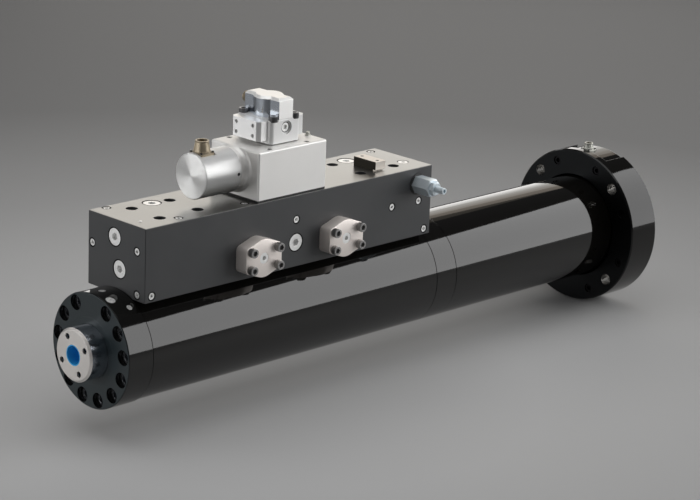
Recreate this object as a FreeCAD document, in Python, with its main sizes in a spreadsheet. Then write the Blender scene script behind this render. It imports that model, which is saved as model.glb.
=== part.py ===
import FreeCAD, Part
import math
import os
from types import SimpleNamespace
import Sketcher

# Electrohydraulic servo actuator: a double-ended cylinder on a rear flange, with a manifold on a flat of
# its tube and a three-stage servovalve on the manifold. The origin is the centre of the flange's mounting
# face, +X points out of that face, the rod end is at -X, the ports face -Y and +Z is up.

# Driving dimensions, in millimetres and degrees
SIZES = {
    # Cylinder along its axis
    "flange_thickness": 68,
    "extension_length": 494,
    "ring_length": 50,
    "tube_length": 655,
    "head_length": 51,
    "rod_reach": 35,
    # Cylinder across its axis
    "tube_radius": 95,
    "tube_wall": 30,
    "flat_depth": 9,
    "head_step": 1.8,
    "fit_gap": 0.05,
    "edge_bevel": 1.5,
    "overcut": 1,
    # Front head and its bearing
    "head_spigot": 137,
    "bearing_wall": 7,
    "lip_gap": 2,
    "lip_length": 4,
    "wiper_wall": 11,
    "wiper_length": 8,
    "seal_length": 10,
    "seal_gap": 0.15,
    "running_gap": 0.04,
    # Head screws, on divisions of which the top one is left free
    "head_screw_thread": 16,
    "head_screw_margin": 13.5,
    "head_divisions": 13,
    "head_screw_grip": 26,
    "head_screw_reach": 30,
    # Proportions of a socket screw, in parts of its thread
    "screw_head_ratio": 0.75,
    "socket_ratio": 0.42,
    "socket_depth_ratio": 0.5,
    "thread_runout": 2,
    "hole_gap": 0.3,
    "head_hole_gap": 1,
    # Passage plugs in the head
    "head_plug_radius": 8,
    "head_plug_angle": 19.5,
    "head_plug_place": 14,
    "head_small_plug_radius": 5,
    "head_small_plug_angle": 34,
    "head_small_plug_place": 35,
    "drain_radius": 6,
    "drain_place": 23,
    "head_plug_depth": 3,
    "head_plug_socket_depth": 1.5,
    # Rear head between the two tubes
    "ring_front_spigot": 24,
    "ring_rear_spigot": 74,
    # Extension tube and flange
    "flange_radius": 146,
    "flange_rim": 6.2,
    "collar_thickness": 24,
    "flange_bevel": 2.5,
    "flange_inner_bevel": 3.5,
    "flange_margin": 20.3,
    "mounting_hole_radius": 11,
    "mounting_hole_count": 4,
    "mounting_hole_angle": 45,
    "flange_screw_thread": 10,
    "flange_screw_count": 8,
    "flange_screw_angle": 22.5,
    "flange_screw_sink": 12,
    "flange_screw_reach": 18,
    "step_depth": 4,
    "step_half_width": 57,
    "step_length": 52,
    "cover_overlap": 19,
    "cover_thickness": 16,
    "cover_screw_thread": 8,
    "cover_margin": 9,
    "cover_screw_sink": 9,
    "cover_screw_reach": 12,
    "cover_screw_count": 6,
    # Piston rod and piston
    "rod_radius": 45,
    "rod_bevel": 3.5,
    "tail_gap": 18,
    "rod_bore_radius": 17.5,
    "rod_bore_depth": 52,
    "protector_wall": 1.8,
    "protector_depth": 30,
    "rod_hole_radius": 5.1,
    "rod_hole_depth": 24,
    "rod_hole_margin": 13,
    "rod_hole_angle": 63,
    "rod_hole_count": 4,
    "piston_length": 100,
    "rest_gap": 22,
    "piston_gap": 0.3,
    "band_length": 12,
    "band_depth": 4,
    "band_inset": 12,
    "piston_seal_length": 8,
    # Position transducer
    "probe_radius": 5,
    "probe_length": 400,
    "transducer_radius": 30,
    "transducer_length": 54,
    "tail_bore_radius": 12,
    "probe_gap": 10,
    "magnet_radius": 17,
    "magnet_length": 12,
    "magnet_gap": 1.5,
    "cable_hole_radius": 4,
    "socket_place": 36,
    "socket_base": 22,
    "socket_base_height": 4.5,
    "socket_pad_depth": 2.5,
    "pad_gap": 1,
    "socket_radius": 8.5,
    "socket_height": 12,
    "socket_screw_radius": 1.8,
    "socket_screw_height": 2,
    "socket_screw_pitch": 18,
    # Manifold block
    "manifold_gap": 1,
    "manifold_half_width": 71,
    "manifold_height": 124,
    "manifold_bevel": 1,
    "manifold_bolt_thread": 12,
    "manifold_bolt_inset": 60,
    "manifold_bolt_pitch": 80.5,
    "manifold_bolt_spread": 34.5,
    "manifold_bolt_grip": 30,
    "manifold_bolt_reach": 20,
    # Places of the manifold plugs: insets from its ends, margins from its sides and rises from the flat
    "upper_gallery_side": 5,
    "upper_gallery_rise": 94,
    "upper_gallery_depth": 250,
    "end_far_plug_margin": 10.5,
    "end_far_plug_rise": 72,
    "end_near_plug_margin": 20.4,
    "end_near_plug_rise": 82.4,
    "corner_plug_margin": 19.4,
    "corner_plug_rise": 10.5,
    "corner_plug_inset": 14.5,
    "side_plug_rise": 82,
    "side_large_plug_rise": 42.4,
    "relief_plug_rise": 64,
    "relief_front_plug_inset": 97,
    "relief_rear_plug_inset": 31,
    "top_front_plug_inset": 30,
    "top_front_plug_margin": 9,
    "top_large_plug_margin": 31,
    "top_large_front_inset": 107,
    "top_large_rear_inset": 102,
    "top_near_plug_inset": 84,
    "top_near_plug_margin": 18,
    "top_hidden_plug_inset": 226,
    "top_hidden_plug_margin": 17,
    "top_rear_plug_inset": 23,
    "top_rear_plug_margin": 13,
    "top_end_plug_inset": 27,
    "top_end_plug_margin": 45.5,
    # Oil passages
    "oil_port_radius": 8,
    "tube_port_inset": 11,
    "gallery_radius": 9,
    "gallery_side": 8,
    "gallery_rise": 43,
    "valve_front_port_inset": 47.5,
    "valve_rear_port_inset": 102.5,
    # Manifold plugs
    "small_plug_radius": 6.7,
    "small_recess_radius": 8,
    "large_plug_radius": 14.5,
    "large_recess_radius": 16.5,
    "medium_plug_radius": 8.7,
    "medium_recess_radius": 10.2,
    "recess_depth": 1.5,
    "plug_depth": 12,
    "plug_sink": 0.4,
    "plug_socket_ratio": 0.4,
    # Port covers
    "front_port_inset": 234,
    "rear_port_inset": 230,
    "port_rise": 38.5,
    "port_bore_radius": 16,
    "port_bore_depth": 35,
    "cover_plate_thickness": 25,
    "cover_plate_length": 79,
    "cover_plate_height": 46,
    "cover_bulge_radius": 32.5,
    "cover_corner": 9,
    "port_pitch_long": 58.7,
    "port_pitch_short": 30.2,
    "port_screw_thread": 10,
    "port_screw_reach": 16,
    "port_plug_radius": 9.3,
    # Relief valve
    "relief_inset": 35,
    "relief_drop": 28.5,
    "relief_recess_radius": 17.5,
    "relief_recess_depth": 3,
    "relief_cartridge_radius": 12,
    "relief_cartridge_depth": 46,
    "relief_hex": 29,
    "relief_hex_length": 41,
    "hex_face_ratio": 0.95,
    "hex_cone_ratio": 0.58,
    "relief_bore_radius": 7,
    "relief_seat_radius": 4,
    "relief_seat_depth": 10,
    "locknut_hex": 22,
    "locknut_length": 7,
    "adjuster_radius": 5.5,
    "adjuster_reach": 26,
    "adjuster_inside": 16,
    "poppet_length": 14,
    "poppet_lift": 0.3,
    "spring_inner_radius": 4,
    "spring_outer_radius": 6.4,
    # Bracket block on the manifold
    "bracket_inset": 115,
    "bracket_length": 24,
    "bracket_margin": 26,
    "bracket_width": 53,
    "bracket_height": 17,
    "bracket_screw_thread": 4,
    "bracket_screw_inset": 8,
    "bracket_notch": 6,
    # Servovalve main stage
    "valve_plate": 4,
    "valve_inset": 240.5,
    "valve_length": 154,
    "valve_margin": 1,
    "valve_width": 117.5,
    "valve_height": 81.5,
    "valve_corner": 3,
    "valve_plate_inset": 1,
    "valve_screw_thread": 6,
    "valve_screw_sink": 7,
    "valve_screw_reach": 12,
    "valve_screw_front": 32,
    "valve_screw_rear": 116,
    "valve_screw_inset": 10,
    "sleeve_inset": 2,
    "spool_inset": 58.6,
    "spool_rise": 45.5,
    "sleeve_radius": 17,
    "spool_radius": 10,
    "spool_groove_radius": 6,
    "spool_land": 14,
    "spool_travel": 6,
    "end_cap_size": 46,
    "end_cap_thickness": 8,
    "end_cap_screw_thread": 5,
    "end_cap_screw_pitch": 34,
    "end_cap_screw_reach": 9,
    # Spool position sensor
    "sensor_radius": 38.5,
    "sensor_length": 95,
    "neck_length": 18.5,
    "neck_step": 3.5,
    "flare_length": 7,
    "flare_rise": 7,
    "flare_knee_length": 2.3,
    "flare_knee_rise": 2.3,
    "sensor_wall": 10,
    "sensor_front_wall": 6,
    "sensor_flat_depth": 4.5,
    "coil_radius": 20,
    "coil_bore_radius": 6,
    "coil_length": 58,
    "core_radius": 5,
    "core_length": 30,
    "stem_radius": 2.5,
    "stem_length": 38,
    "set_screw_radius": 3,
    "set_screw_place": 70,
    "sensor_socket_place": 22.6,
    "sensor_socket_base": 30,
    "sensor_socket_plate": 3.5,
    "sensor_socket_radius": 13.5,
    "sensor_socket_height": 20,
    "sensor_screw_pitch": 25,
    "sensor_screw_radius": 2.2,
    "sensor_screw_height": 2.5,
    "connector_bore_ratio": 0.72,
    "connector_bore_depth": 9,
    # Pilot stage
    "pilot_gap": 1.5,
    "pilot_inset": 46,
    "pilot_length": 68,
    "pilot_margin": 23,
    "pilot_width": 84.5,
    "pilot_height": 40,
    "pilot_corner": 8,
    "pilot_spool_inset": 42,
    "pilot_spool_rise": 21,
    "pilot_spool_radius": 7,
    "pilot_groove_radius": 4,
    "pilot_spool_length": 56,
    "pilot_slot": 7,
    "pilot_cap_thickness": 20,
    "pilot_cap_width": 68,
    "pilot_cap_height": 33,
    "pilot_cap_rise": 6.5,
    "pilot_rear_cap_thickness": 17.5,
    "pilot_cap_corner": 6,
    "pilot_cap_screw_radius": 3,
    "pilot_cap_screw_height": 1.5,
    "pilot_cap_screw_inset": 8,
    "pilot_screw_thread": 10,
    "pilot_screw_sink": 3,
    "pilot_screw_pitch_long": 73,
    "pilot_screw_pitch_short": 47.5,
    "pilot_screw_reach": 14,
    "pilot_plug_radius": 9,
    "pilot_plug_recess_radius": 11.5,
    "pilot_plug_sink": 3,
    "pilot_plug_inset": 35.7,
    "pilot_plug_rise": 25,
    "pilot_plug_depth": 6,
    # Pilot motor
    "motor_width": 83,
    "motor_length": 32,
    "motor_bulge_radius": 26,
    "motor_height": 35,
    "motor_bevel": 4,
    "armature_length": 36,
    "armature_size": 8,
    "armature_rise": 11.3,
    "motor_coil_radius": 11,
    "motor_coil_bore": 7,
    "motor_coil_length": 10,
    "motor_coil_spread": 20,
    "motor_cavity_radius": 22,
    "flapper_radius": 2,
    "flapper_hole_radius": 5,
    "ball_radius": 2.2,
    "motor_socket_radius": 11,
    "motor_socket_length": 15,
    "motor_socket_height": 20,
}

# Whole turn in degrees, sides of a hexagon and lands of the main spool
FULL_TURN = 360
HEXAGON_SIDES = 6
SPOOL_LANDS = 4

doc = FreeCAD.newDocument("servo_actuator")
sheet = doc.addObject("Spreadsheet::Sheet", "Sizes")
pieces = []


class Size:
    """A length or angle together with the sheet formula it is worked out by."""

    def __init__(self, value, formula):
        self.value = value
        self.formula = formula

    def __add__(self, other):
        other = as_size(other)
        return Size(self.value + other.value, f"({self.formula} + {other.formula})")

    def __radd__(self, other):
        return as_size(other) + self

    def __sub__(self, other):
        other = as_size(other)
        return Size(self.value - other.value, f"({self.formula} - {other.formula})")

    def __rsub__(self, other):
        return as_size(other) - self

    def __mul__(self, other):
        other = as_size(other)
        return Size(self.value * other.value, f"({self.formula} * {other.formula})")

    def __rmul__(self, other):
        return as_size(other) * self

    def __truediv__(self, other):
        other = as_size(other)
        return Size(self.value / other.value, f"({self.formula} / {other.formula})")

    def __rtruediv__(self, other):
        return as_size(other) / self

    def __neg__(self):
        return Size(-self.value, f"(0 - {self.formula})")


def as_size(number):
    """A plain number becomes a size whose formula is the number itself."""
    if isinstance(number, Size):
        return number
    return Size(number, repr(number))


def cosine(angle):
    return Size(math.cos(math.radians(angle.value)), f"cos({angle.formula})")


def sine(angle):
    return Size(math.sin(math.radians(angle.value)), f"sin({angle.formula})")


def fill_sheet():
    """Writes each driving dimension into a cell named after it, and returns them by name."""
    named = {}
    for row, (name, value) in enumerate(SIZES.items(), start=1):
        sheet.set(f"A{row}", name)
        sheet.set(f"B{row}", str(value))
        sheet.setAlias(f"B{row}", name)
        named[name] = Size(value, f"Sizes.{name}")
    return SimpleNamespace(**named)


dim = fill_sheet()

# Radii of the cylinder and its rod
bore_radius = dim.tube_radius - dim.tube_wall
flat_height = dim.tube_radius - dim.flat_depth
head_radius = dim.tube_radius + dim.head_step
head_screw_circle = dim.tube_radius - dim.head_screw_margin
bearing_radius = dim.rod_radius + dim.bearing_wall
lip_radius = dim.rod_radius + dim.lip_gap
wiper_radius = dim.rod_radius + dim.wiper_wall
rod_hole_circle = dim.rod_radius - dim.rod_hole_margin
collar_radius = dim.flange_radius - dim.flange_rim
flange_circle = dim.flange_radius - dim.flange_margin
step_radius = dim.flange_radius - dim.step_depth
cover_radius = bore_radius + dim.cover_overlap
cover_screw_circle = cover_radius - dim.cover_margin

# Places along the cylinder, from the rod end to the flange
ring_rear = -dim.extension_length
ring_front = ring_rear - dim.ring_length
head_joint = ring_front - dim.tube_length
head_front = head_joint - dim.head_length
rod_front = head_front - dim.rod_reach
rod_rear = -dim.cover_thickness - dim.transducer_length - dim.tail_gap
tail_bore_front = rod_rear - dim.probe_length + dim.tail_gap - dim.probe_gap
spigot_end = head_joint + dim.head_spigot
ring_spigot_end = ring_front - dim.ring_front_spigot
piston_rear = ring_spigot_end - dim.rest_gap
piston_front = piston_rear - dim.piston_length
front_oil_port = spigot_end + dim.tube_port_inset
rear_oil_port = ring_spigot_end - dim.tube_port_inset

# Places on the manifold
manifold_front = head_joint + dim.manifold_gap
manifold_rear = ring_front - dim.manifold_gap
manifold_top = flat_height + dim.manifold_height
manifold_face = -dim.manifold_half_width
gallery_y = -dim.gallery_side
gallery_z = flat_height + dim.gallery_rise
upper_gallery_z = flat_height + dim.upper_gallery_rise
port_z = flat_height + dim.port_rise
front_port_x = manifold_front + dim.front_port_inset
rear_port_x = manifold_rear - dim.rear_port_inset
relief_x = manifold_rear - dim.relief_inset
relief_z = manifold_top - dim.relief_drop

# Places on the servovalve
valve_base = manifold_top + dim.valve_plate
valve_top = valve_base + dim.valve_height
valve_x = manifold_front + dim.valve_inset
valve_rear = valve_x + dim.valve_length
valve_y = manifold_face + dim.valve_margin
valve_far = valve_y + dim.valve_width
valve_front_port = valve_x + dim.valve_front_port_inset
valve_rear_port = valve_x + dim.valve_rear_port_inset
spool_y = valve_y + dim.spool_inset
spool_z = valve_base + dim.spool_rise
neck_front = valve_x - dim.neck_length
neck_radius = dim.sensor_radius - dim.neck_step
sensor_front = valve_x - dim.sensor_length
pilot_x = valve_x + dim.pilot_inset
pilot_rear = pilot_x + dim.pilot_length
pilot_base = valve_top + dim.pilot_gap
pilot_top = pilot_base + dim.pilot_height
pilot_y = valve_y + dim.pilot_margin
pilot_far = pilot_y + dim.pilot_width
pilot_middle = pilot_x + dim.pilot_length / 2
pilot_spool_y = pilot_y + dim.pilot_spool_inset
pilot_spool_z = pilot_base + dim.pilot_spool_rise
motor_top = pilot_top + dim.motor_height

# Which way a sketch plane faces: its role in a body's origin and the sign of its normal
PLANES = {"x": ("YZ_Plane", 1), "y": ("XZ_Plane", -1), "z": ("XY_Plane", 1)}
TURNS = {
    "x": FreeCAD.Rotation(FreeCAD.Vector(0, 1, 0), 90),
    "y": FreeCAD.Rotation(FreeCAD.Vector(1, 0, 0), -90),
    "z": FreeCAD.Rotation(),
}


def bind(item, **sizes):
    """Ties properties of an object to the sheet. A double underscore in a name stands for a dot."""
    for name, size in sizes.items():
        item.setExpression(name.replace("__", "."), as_size(size).formula)


def place(item, across):
    """Ties the origin of an object to the sheet."""
    bind(item, Placement__Base__x=across[0], Placement__Base__y=across[1], Placement__Base__z=across[2])


def keep(item, name):
    """Registers an object as one sub-part of the actuator."""
    item.Label = name
    pieces.append(item)
    return item


def new_body(name):
    return keep(doc.addObject("PartDesign::Body", name), name)


def origin_item(body, role):
    return next(item for item in body.Origin.OriginFeatures if item.Role == role)


def draw_polygon(sketch, points):
    """A closed outline whose corners are tied to the sheet."""
    count = len(points)
    first = sketch.GeometryCount
    turns = [2 * math.pi * corner / count for corner in range(count)]
    start = [FreeCAD.Vector(math.cos(turn), math.sin(turn), 0) for turn in turns]
    for corner in range(count):
        sketch.addGeometry(Part.LineSegment(start[corner], start[(corner + 1) % count]))
    ties = [
        Sketcher.Constraint("Coincident", first + corner, 2, first + (corner + 1) % count, 1)
        for corner in range(count)
    ]
    sketch.addConstraint(ties)
    for corner, (across, up) in enumerate(points):
        tie_point(sketch, first + corner, 1, start[corner], across, up)


def draw_circle(sketch, across, up, radius):
    """A circle whose centre and radius are tied to the sheet."""
    centre = FreeCAD.Vector(1, 1, 0)
    circle = sketch.addGeometry(Part.Circle(centre, FreeCAD.Vector(0, 0, 1), 1))
    tie_point(sketch, circle, 3, centre, across, up)
    index = sketch.addConstraint(Sketcher.Constraint("Radius", circle, 1.0))
    sketch.setExpression(f"Constraints[{index}]", as_size(radius).formula)


def tie_point(sketch, line, end, start, across, up):
    for way, value, size in (("DistanceX", start.x, across), ("DistanceY", start.y, up)):
        index = sketch.addConstraint(Sketcher.Constraint(way, -1, 1, line, end, value))
        sketch.setExpression(f"Constraints[{index}]", as_size(size).formula)


def draw(body, name, role, shapes):
    """A sketch on a body's origin plane, with polygons (lists) and circles (three sizes)."""
    sketch = body.newObject("Sketcher::SketchObject", name)
    sketch.AttachmentSupport = [(origin_item(body, role), "")]
    sketch.MapMode = "FlatFace"
    for shape in shapes:
        if isinstance(shape, list):
            draw_polygon(sketch, shape)
        else:
            draw_circle(sketch, *shape)
    return sketch


def between(body, kind, name, axis, low, high, shapes):
    """A pad or pocket square to an axis, from its low place to its high one."""
    role, way = PLANES[axis]
    starts_low = (way > 0) == (kind == "Pad")
    sketch = draw(body, name + "_outline", role, shapes)
    bind(sketch, AttachmentOffset__Base__z=(low if starts_low else high) * way)
    feature = body.newObject("PartDesign::" + kind, name)
    feature.Profile = sketch
    bind(feature, Length=high - low)
    body.Tip = feature
    return feature


def pad(body, name, axis, low, high, shapes):
    return between(body, "Pad", name, axis, low, high, shapes)


def pocket(body, name, axis, low, high, shapes):
    return between(body, "Pocket", name, axis, low, high, shapes)


def turned(body, name, axis, outline, kind="Revolution"):
    """A revolved outline of (along, radius) corners around one of the body's own axes."""
    if axis == "x":
        points = outline
    else:
        points = [(radius, along) for along, radius in outline]
    role = "XY_Plane" if axis == "y" else "XZ_Plane"
    sketch = draw(body, name + "_outline", role, [points])
    feature = body.newObject("PartDesign::" + kind, name)
    feature.Profile = sketch
    feature.ReferenceAxis = (origin_item(body, axis.upper() + "_Axis"), [""])
    feature.Angle = FULL_TURN
    body.Tip = feature
    return feature


def ringed(body, name, features, count, sweep):
    """Copies features around the X axis of the body."""
    pattern = body.newObject("PartDesign::PolarPattern", name)
    pattern.Originals = features
    pattern.Axis = (origin_item(body, "X_Axis"), [""])
    bind(pattern, Angle=sweep, Occurrences=count)
    body.Tip = pattern
    return pattern


def soften(body, kind, name, size, chosen):
    """A fillet or chamfer on the edges of the body that a test picks."""
    doc.recompute()
    base = body.Tip
    edges = [f"Edge{number}" for number, edge in enumerate(base.Shape.Edges, start=1) if chosen(edge)]
    feature = body.newObject("PartDesign::" + kind, name)
    feature.Base = (base, edges)
    if kind == "Fillet":
        bind(feature, Radius=size)
    else:
        bind(feature, Size=size)
    body.Tip = feature
    return feature


def runs_along(edge, axis):
    """True for a straight edge parallel to an axis."""
    if edge.Curve.TypeId != "Part::GeomLine":
        return False
    return abs(getattr(edge.Curve.Direction, axis)) > 0.999


def near(value, size):
    return abs(value - size.value) < 0.01


def rectangle(low, high):
    """Four corners between two opposite ones."""
    return [(low[0], low[1]), (high[0], low[1]), (high[0], high[1]), (low[0], high[1])]


def square(across, up, side):
    half = side / 2
    return rectangle((across - half, up - half), (across + half, up + half))


def ring_outline(low, high, inner, outer):
    return [(low, inner), (high, inner), (high, outer), (low, outer)]


def polar(radius, angle):
    """A point on a circle in the YZ plane, from +Y towards +Z."""
    return radius * cosine(angle), radius * sine(angle)


# Plain primitives and booleans
def along_axis(axis, along, across, up):
    """Puts a place along an axis and the two across it in X, Y, Z order."""
    if axis == "x":
        return along, across, up
    if axis == "y":
        return across, along, up
    return across, up, along


def cylinder(name, axis, low, high, across, up, radius):
    item = doc.addObject("Part::Cylinder", name)
    item.Placement = FreeCAD.Placement(FreeCAD.Vector(), TURNS[axis])
    bind(item, Radius=radius, Height=high - low)
    place(item, along_axis(axis, low, across, up))
    return item


def hexagon(name, axis, low, high, across, up, half_flats):
    """A hexagonal prism, given half of its width across flats."""
    item = doc.addObject("Part::Prism", name)
    item.Placement = FreeCAD.Placement(FreeCAD.Vector(), TURNS[axis])
    item.Polygon = HEXAGON_SIDES
    bind(item, Circumradius=half_flats / cosine(as_size(FULL_TURN) / (2 * HEXAGON_SIDES)), Height=high - low)
    place(item, along_axis(axis, low, across, up))
    return item


def nut(name, axis, seat, way, length, centre, half_flats):
    """A hexagon that stands on a seat, with its corners turned to a cone at the outer end."""
    prism = hexagon(name + "_prism", axis, *ordered(seat, way, length), *centre, half_flats)
    corner = half_flats / cosine(as_size(FULL_TURN) / (2 * HEXAGON_SIDES)) + dim.fit_gap
    face = half_flats * dim.hex_face_ratio
    end = seat + length * way
    drop = (corner - face) * dim.hex_cone_ratio
    body = doc.addObject("PartDesign::Body", name + "_turning")
    turned(body, name + "_cone", axis, [
        (seat, as_size(0)),
        (seat, corner),
        (end - drop * way, corner),
        (end, face),
        (end, as_size(0)),
    ])
    place(body, along_axis(axis, as_size(0), *centre))
    blank = doc.addObject("Part::MultiCommon", name)
    blank.Shapes = [prism, body]
    return blank


def box(name, low, high):
    item = doc.addObject("Part::Box", name)
    bind(item, Length=high[0] - low[0], Width=high[1] - low[1], Height=high[2] - low[2])
    place(item, low)
    return item


def fuse(name, items):
    item = doc.addObject("Part::MultiFuse", name)
    item.Shapes = items
    return item


def cut(name, base, tool):
    item = doc.addObject("Part::Cut", name)
    item.Base = base
    item.Tool = tool
    return item


def group(name, items):
    """Separate solids of one sub-part."""
    item = doc.addObject("Part::Compound", name)
    item.Links = items
    return keep(item, name)


def ordered(first, way, length):
    """Low and high ends of a stretch that starts at a place and goes one way."""
    if way > 0:
        return first, first + length
    return first - length, first


def cap_screw(name, axis, way, seat, across, up, thread, grip):
    """A socket screw: its head stands on the seat and points the given way, its shank goes the other."""
    head_radius = thread * dim.screw_head_ratio
    head = cylinder(name + "_head", axis, *ordered(seat, way, thread), across, up, head_radius)
    shank = cylinder(name + "_shank", axis, *ordered(seat, -way, grip), across, up, thread / 2)
    socket_ends = ordered(seat + thread * way, -way, thread * dim.socket_depth_ratio)
    socket = hexagon(name + "_socket", axis, *socket_ends, across, up, thread * dim.socket_ratio)
    return cut(name, fuse(name + "_blank", [head, shank]), socket)


def plug(name, axis, way, face, across, up, radius, depth):
    """A screwed plug with a hexagonal socket, its face a little below the surface it closes."""
    top = face - dim.plug_sink * way
    blank = cylinder(name + "_blank", axis, *ordered(top, -way, depth), across, up, radius)
    socket_ends = ordered(top, -way, depth / 2)
    socket = hexagon(name + "_socket", axis, *socket_ends, across, up, radius * dim.plug_socket_ratio)
    return cut(name, blank, socket)


def head_angle(number):
    """Angle of a head screw: the divisions count from the free one at the top."""
    return 90 + FULL_TURN / dim.head_divisions * number


# Cylinder
def front_head():
    """Front head with a long spigot that carries the rod bearing."""
    body = new_body("front_head")
    spigot_radius = bore_radius - dim.fit_gap
    turned(body, "head_turning", "x", [
        (head_front, wiper_radius),
        (head_front, head_radius - dim.edge_bevel),
        (head_front + dim.edge_bevel, head_radius),
        (head_joint, head_radius),
        (head_joint, spigot_radius),
        (spigot_end, spigot_radius),
        (spigot_end, lip_radius),
        (spigot_end - dim.lip_length, lip_radius),
        (spigot_end - dim.lip_length, bearing_radius),
        (head_front + dim.wiper_length, bearing_radius),
        (head_front + dim.wiper_length, wiper_radius),
    ])
    first = polar(head_screw_circle, head_angle(1))
    sink = head_joint - dim.head_screw_grip
    wide = dim.head_screw_thread * dim.screw_head_ratio + dim.head_hole_gap
    seat = pocket(body, "head_counterbore", "x", head_front, sink, [(*first, wide)])
    through = dim.head_screw_thread / 2 + dim.hole_gap
    hole = pocket(body, "head_hole", "x", sink, head_joint, [(*first, through)])
    count = dim.head_divisions - 1
    ringed(body, "head_holes", [seat, hole], count, FULL_TURN / dim.head_divisions * (count - 1))
    return body


def head_plug_places():
    """Radius, angle from the top and place along the head of its plugs and drain."""
    return [
        (dim.head_plug_radius, dim.head_plug_angle, head_front + dim.head_plug_place),
        (dim.head_small_plug_radius, dim.head_small_plug_angle, head_front + dim.head_small_plug_place),
        (dim.drain_radius, as_size(0), head_front + dim.drain_place),
    ]


def radial_cylinder(name, radius, angle, along, bottom, top):
    """A cylinder that points away from the cylinder axis, tilted from +Z towards -Y."""
    item = doc.addObject("Part::Cylinder", name)
    turn = FreeCAD.Rotation(FreeCAD.Vector(1, 0, 0), angle.value)
    item.Placement = FreeCAD.Placement(FreeCAD.Vector(), turn)
    item.setExpression("Placement.Rotation.Angle", angle.formula)
    bind(item, Radius=radius, Height=top - bottom)
    place(item, (along, -bottom * sine(angle), bottom * cosine(angle)))
    return item


def plugged_head():
    """The head with the seats of its plugs cut into its rim."""
    head = front_head()
    pieces.remove(head)
    head.Label = "front_head_turning"
    bottom = head_radius - dim.head_plug_depth
    rim = head_radius + dim.overcut
    seats = [
        radial_cylinder(f"head_plug_seat_{number}", radius + dim.fit_gap, angle, along, bottom, rim)
        for number, (radius, angle, along) in enumerate(head_plug_places())
    ]
    return keep(cut("front_head_cut", head, fuse("head_plug_seats", seats)), "front_head")


def head_plugs():
    """Passage plugs and the drain plug in the rim of the head."""
    bottom = head_radius - dim.head_plug_depth
    plugs = []
    for number, (radius, angle, along) in enumerate(head_plug_places()):
        top = head_radius - dim.plug_sink
        blank = radial_cylinder(f"head_plug_blank_{number}", radius, angle, along, bottom, top)
        hollow = radius * dim.plug_socket_ratio
        floor = top - dim.head_plug_socket_depth
        socket = radial_cylinder(f"head_plug_socket_{number}", hollow, angle, along, floor, top)
        plugs.append(cut(f"head_plug_{number}", blank, socket))
    group("head_plugs", plugs)


def head_screws():
    """Screws of the front head, reaching into the wall of the tube."""
    screws = []
    for number in range(1, int(SIZES["head_divisions"])):
        across, up = polar(head_screw_circle, head_angle(number))
        sink = head_joint - dim.head_screw_grip
        grip = dim.head_screw_grip + dim.head_screw_reach
        name = f"head_screw_{number}"
        screws.append(cap_screw(name, "x", -1, sink, across, up, dim.head_screw_thread, grip))
    group("head_screws", screws)


def ring_solid(name, low, high, inner, outer):
    """A plain ring around the axis of the cylinder."""
    body = doc.addObject("PartDesign::Body", name)
    turned(body, name + "_turning", "x", ring_outline(low, high, inner, outer))
    return body


def rod_guides():
    """Wiper, seals and bronze bearings of the rod."""
    seal_radius = dim.rod_radius + dim.seal_gap
    bush_radius = dim.rod_radius + dim.running_gap
    wiper_rear = head_front + dim.wiper_length
    wiper = ring_solid("wiper_ring", head_front, wiper_rear, seal_radius, wiper_radius - dim.fit_gap)
    keep(wiper, "rod_wiper")
    outer = bearing_radius - dim.fit_gap
    seal_rear = wiper_rear + dim.seal_length
    lip = ring_front - dim.ring_front_spigot + dim.lip_length
    lip_rear = lip + dim.seal_length
    front_seal = ring_solid("front_seal", wiper_rear, seal_rear, seal_radius, outer)
    group("rod_seals", [front_seal, ring_solid("tail_seal", lip, lip_rear, seal_radius, outer)])
    front_bush = ring_solid("front_bush", seal_rear, spigot_end - dim.lip_length, bush_radius, outer)
    rear_bush = ring_solid("rear_bush", lip_rear, ring_rear + dim.ring_rear_spigot, bush_radius, outer)
    group("rod_bearings", [front_bush, rear_bush])


def manifold_bolt_places():
    """Places of the manifold bolts along and across."""
    front = manifold_front + dim.manifold_bolt_inset
    rear = manifold_rear - dim.manifold_bolt_inset
    along = [front, front + dim.manifold_bolt_pitch, rear - dim.manifold_bolt_pitch, rear]
    return [(x, y) for x in along for y in (-dim.manifold_bolt_spread, dim.manifold_bolt_spread)]


def cylinder_tube():
    """Honed tube with a flat for the manifold, two oil ports and threaded holes."""
    body = new_body("cylinder_tube")
    outline = ring_outline(head_joint, ring_front, bore_radius, dim.tube_radius)
    turned(body, "tube_turning", "x", outline)
    side = dim.tube_radius
    flat = rectangle((-side, flat_height), (side, side + dim.overcut))
    pocket(body, "tube_flat", "x", head_joint, ring_front, [flat])
    first = polar(head_screw_circle, head_angle(1))
    thread = dim.head_screw_thread / 2 + dim.fit_gap
    end = head_joint + dim.head_screw_reach + dim.thread_runout
    hole = pocket(body, "tube_thread", "x", head_joint, end, [(*first, thread)])
    count = dim.head_divisions - 1
    ringed(body, "tube_threads", [hole], count, FULL_TURN / dim.head_divisions * (count - 1))
    bolt = dim.manifold_bolt_thread / 2 + dim.fit_gap
    bolt_end = flat_height - dim.manifold_bolt_reach - dim.thread_runout
    holes = [(x, y, bolt) for x, y in manifold_bolt_places()]
    pocket(body, "manifold_threads", "z", bolt_end, flat_height, holes)
    ports = [(x, gallery_y, dim.oil_port_radius) for x in (front_oil_port, rear_oil_port)]
    pocket(body, "oil_ports", "z", bore_radius / 2, flat_height, ports)


def rear_head():
    """Rear head between the tubes, screwed into both with a spigot at each side."""
    body = new_body("rear_head")
    spigot = bore_radius - dim.fit_gap
    front = ring_front - dim.ring_front_spigot
    rear = ring_rear + dim.ring_rear_spigot
    turned(body, "ring_turning", "x", [
        (front, lip_radius),
        (front, spigot),
        (ring_front, spigot),
        (ring_front, dim.tube_radius),
        (ring_rear, dim.tube_radius),
        (ring_rear, spigot),
        (rear, spigot),
        (rear, bearing_radius),
        (front + dim.lip_length, bearing_radius),
        (front + dim.lip_length, lip_radius),
    ])


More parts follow.
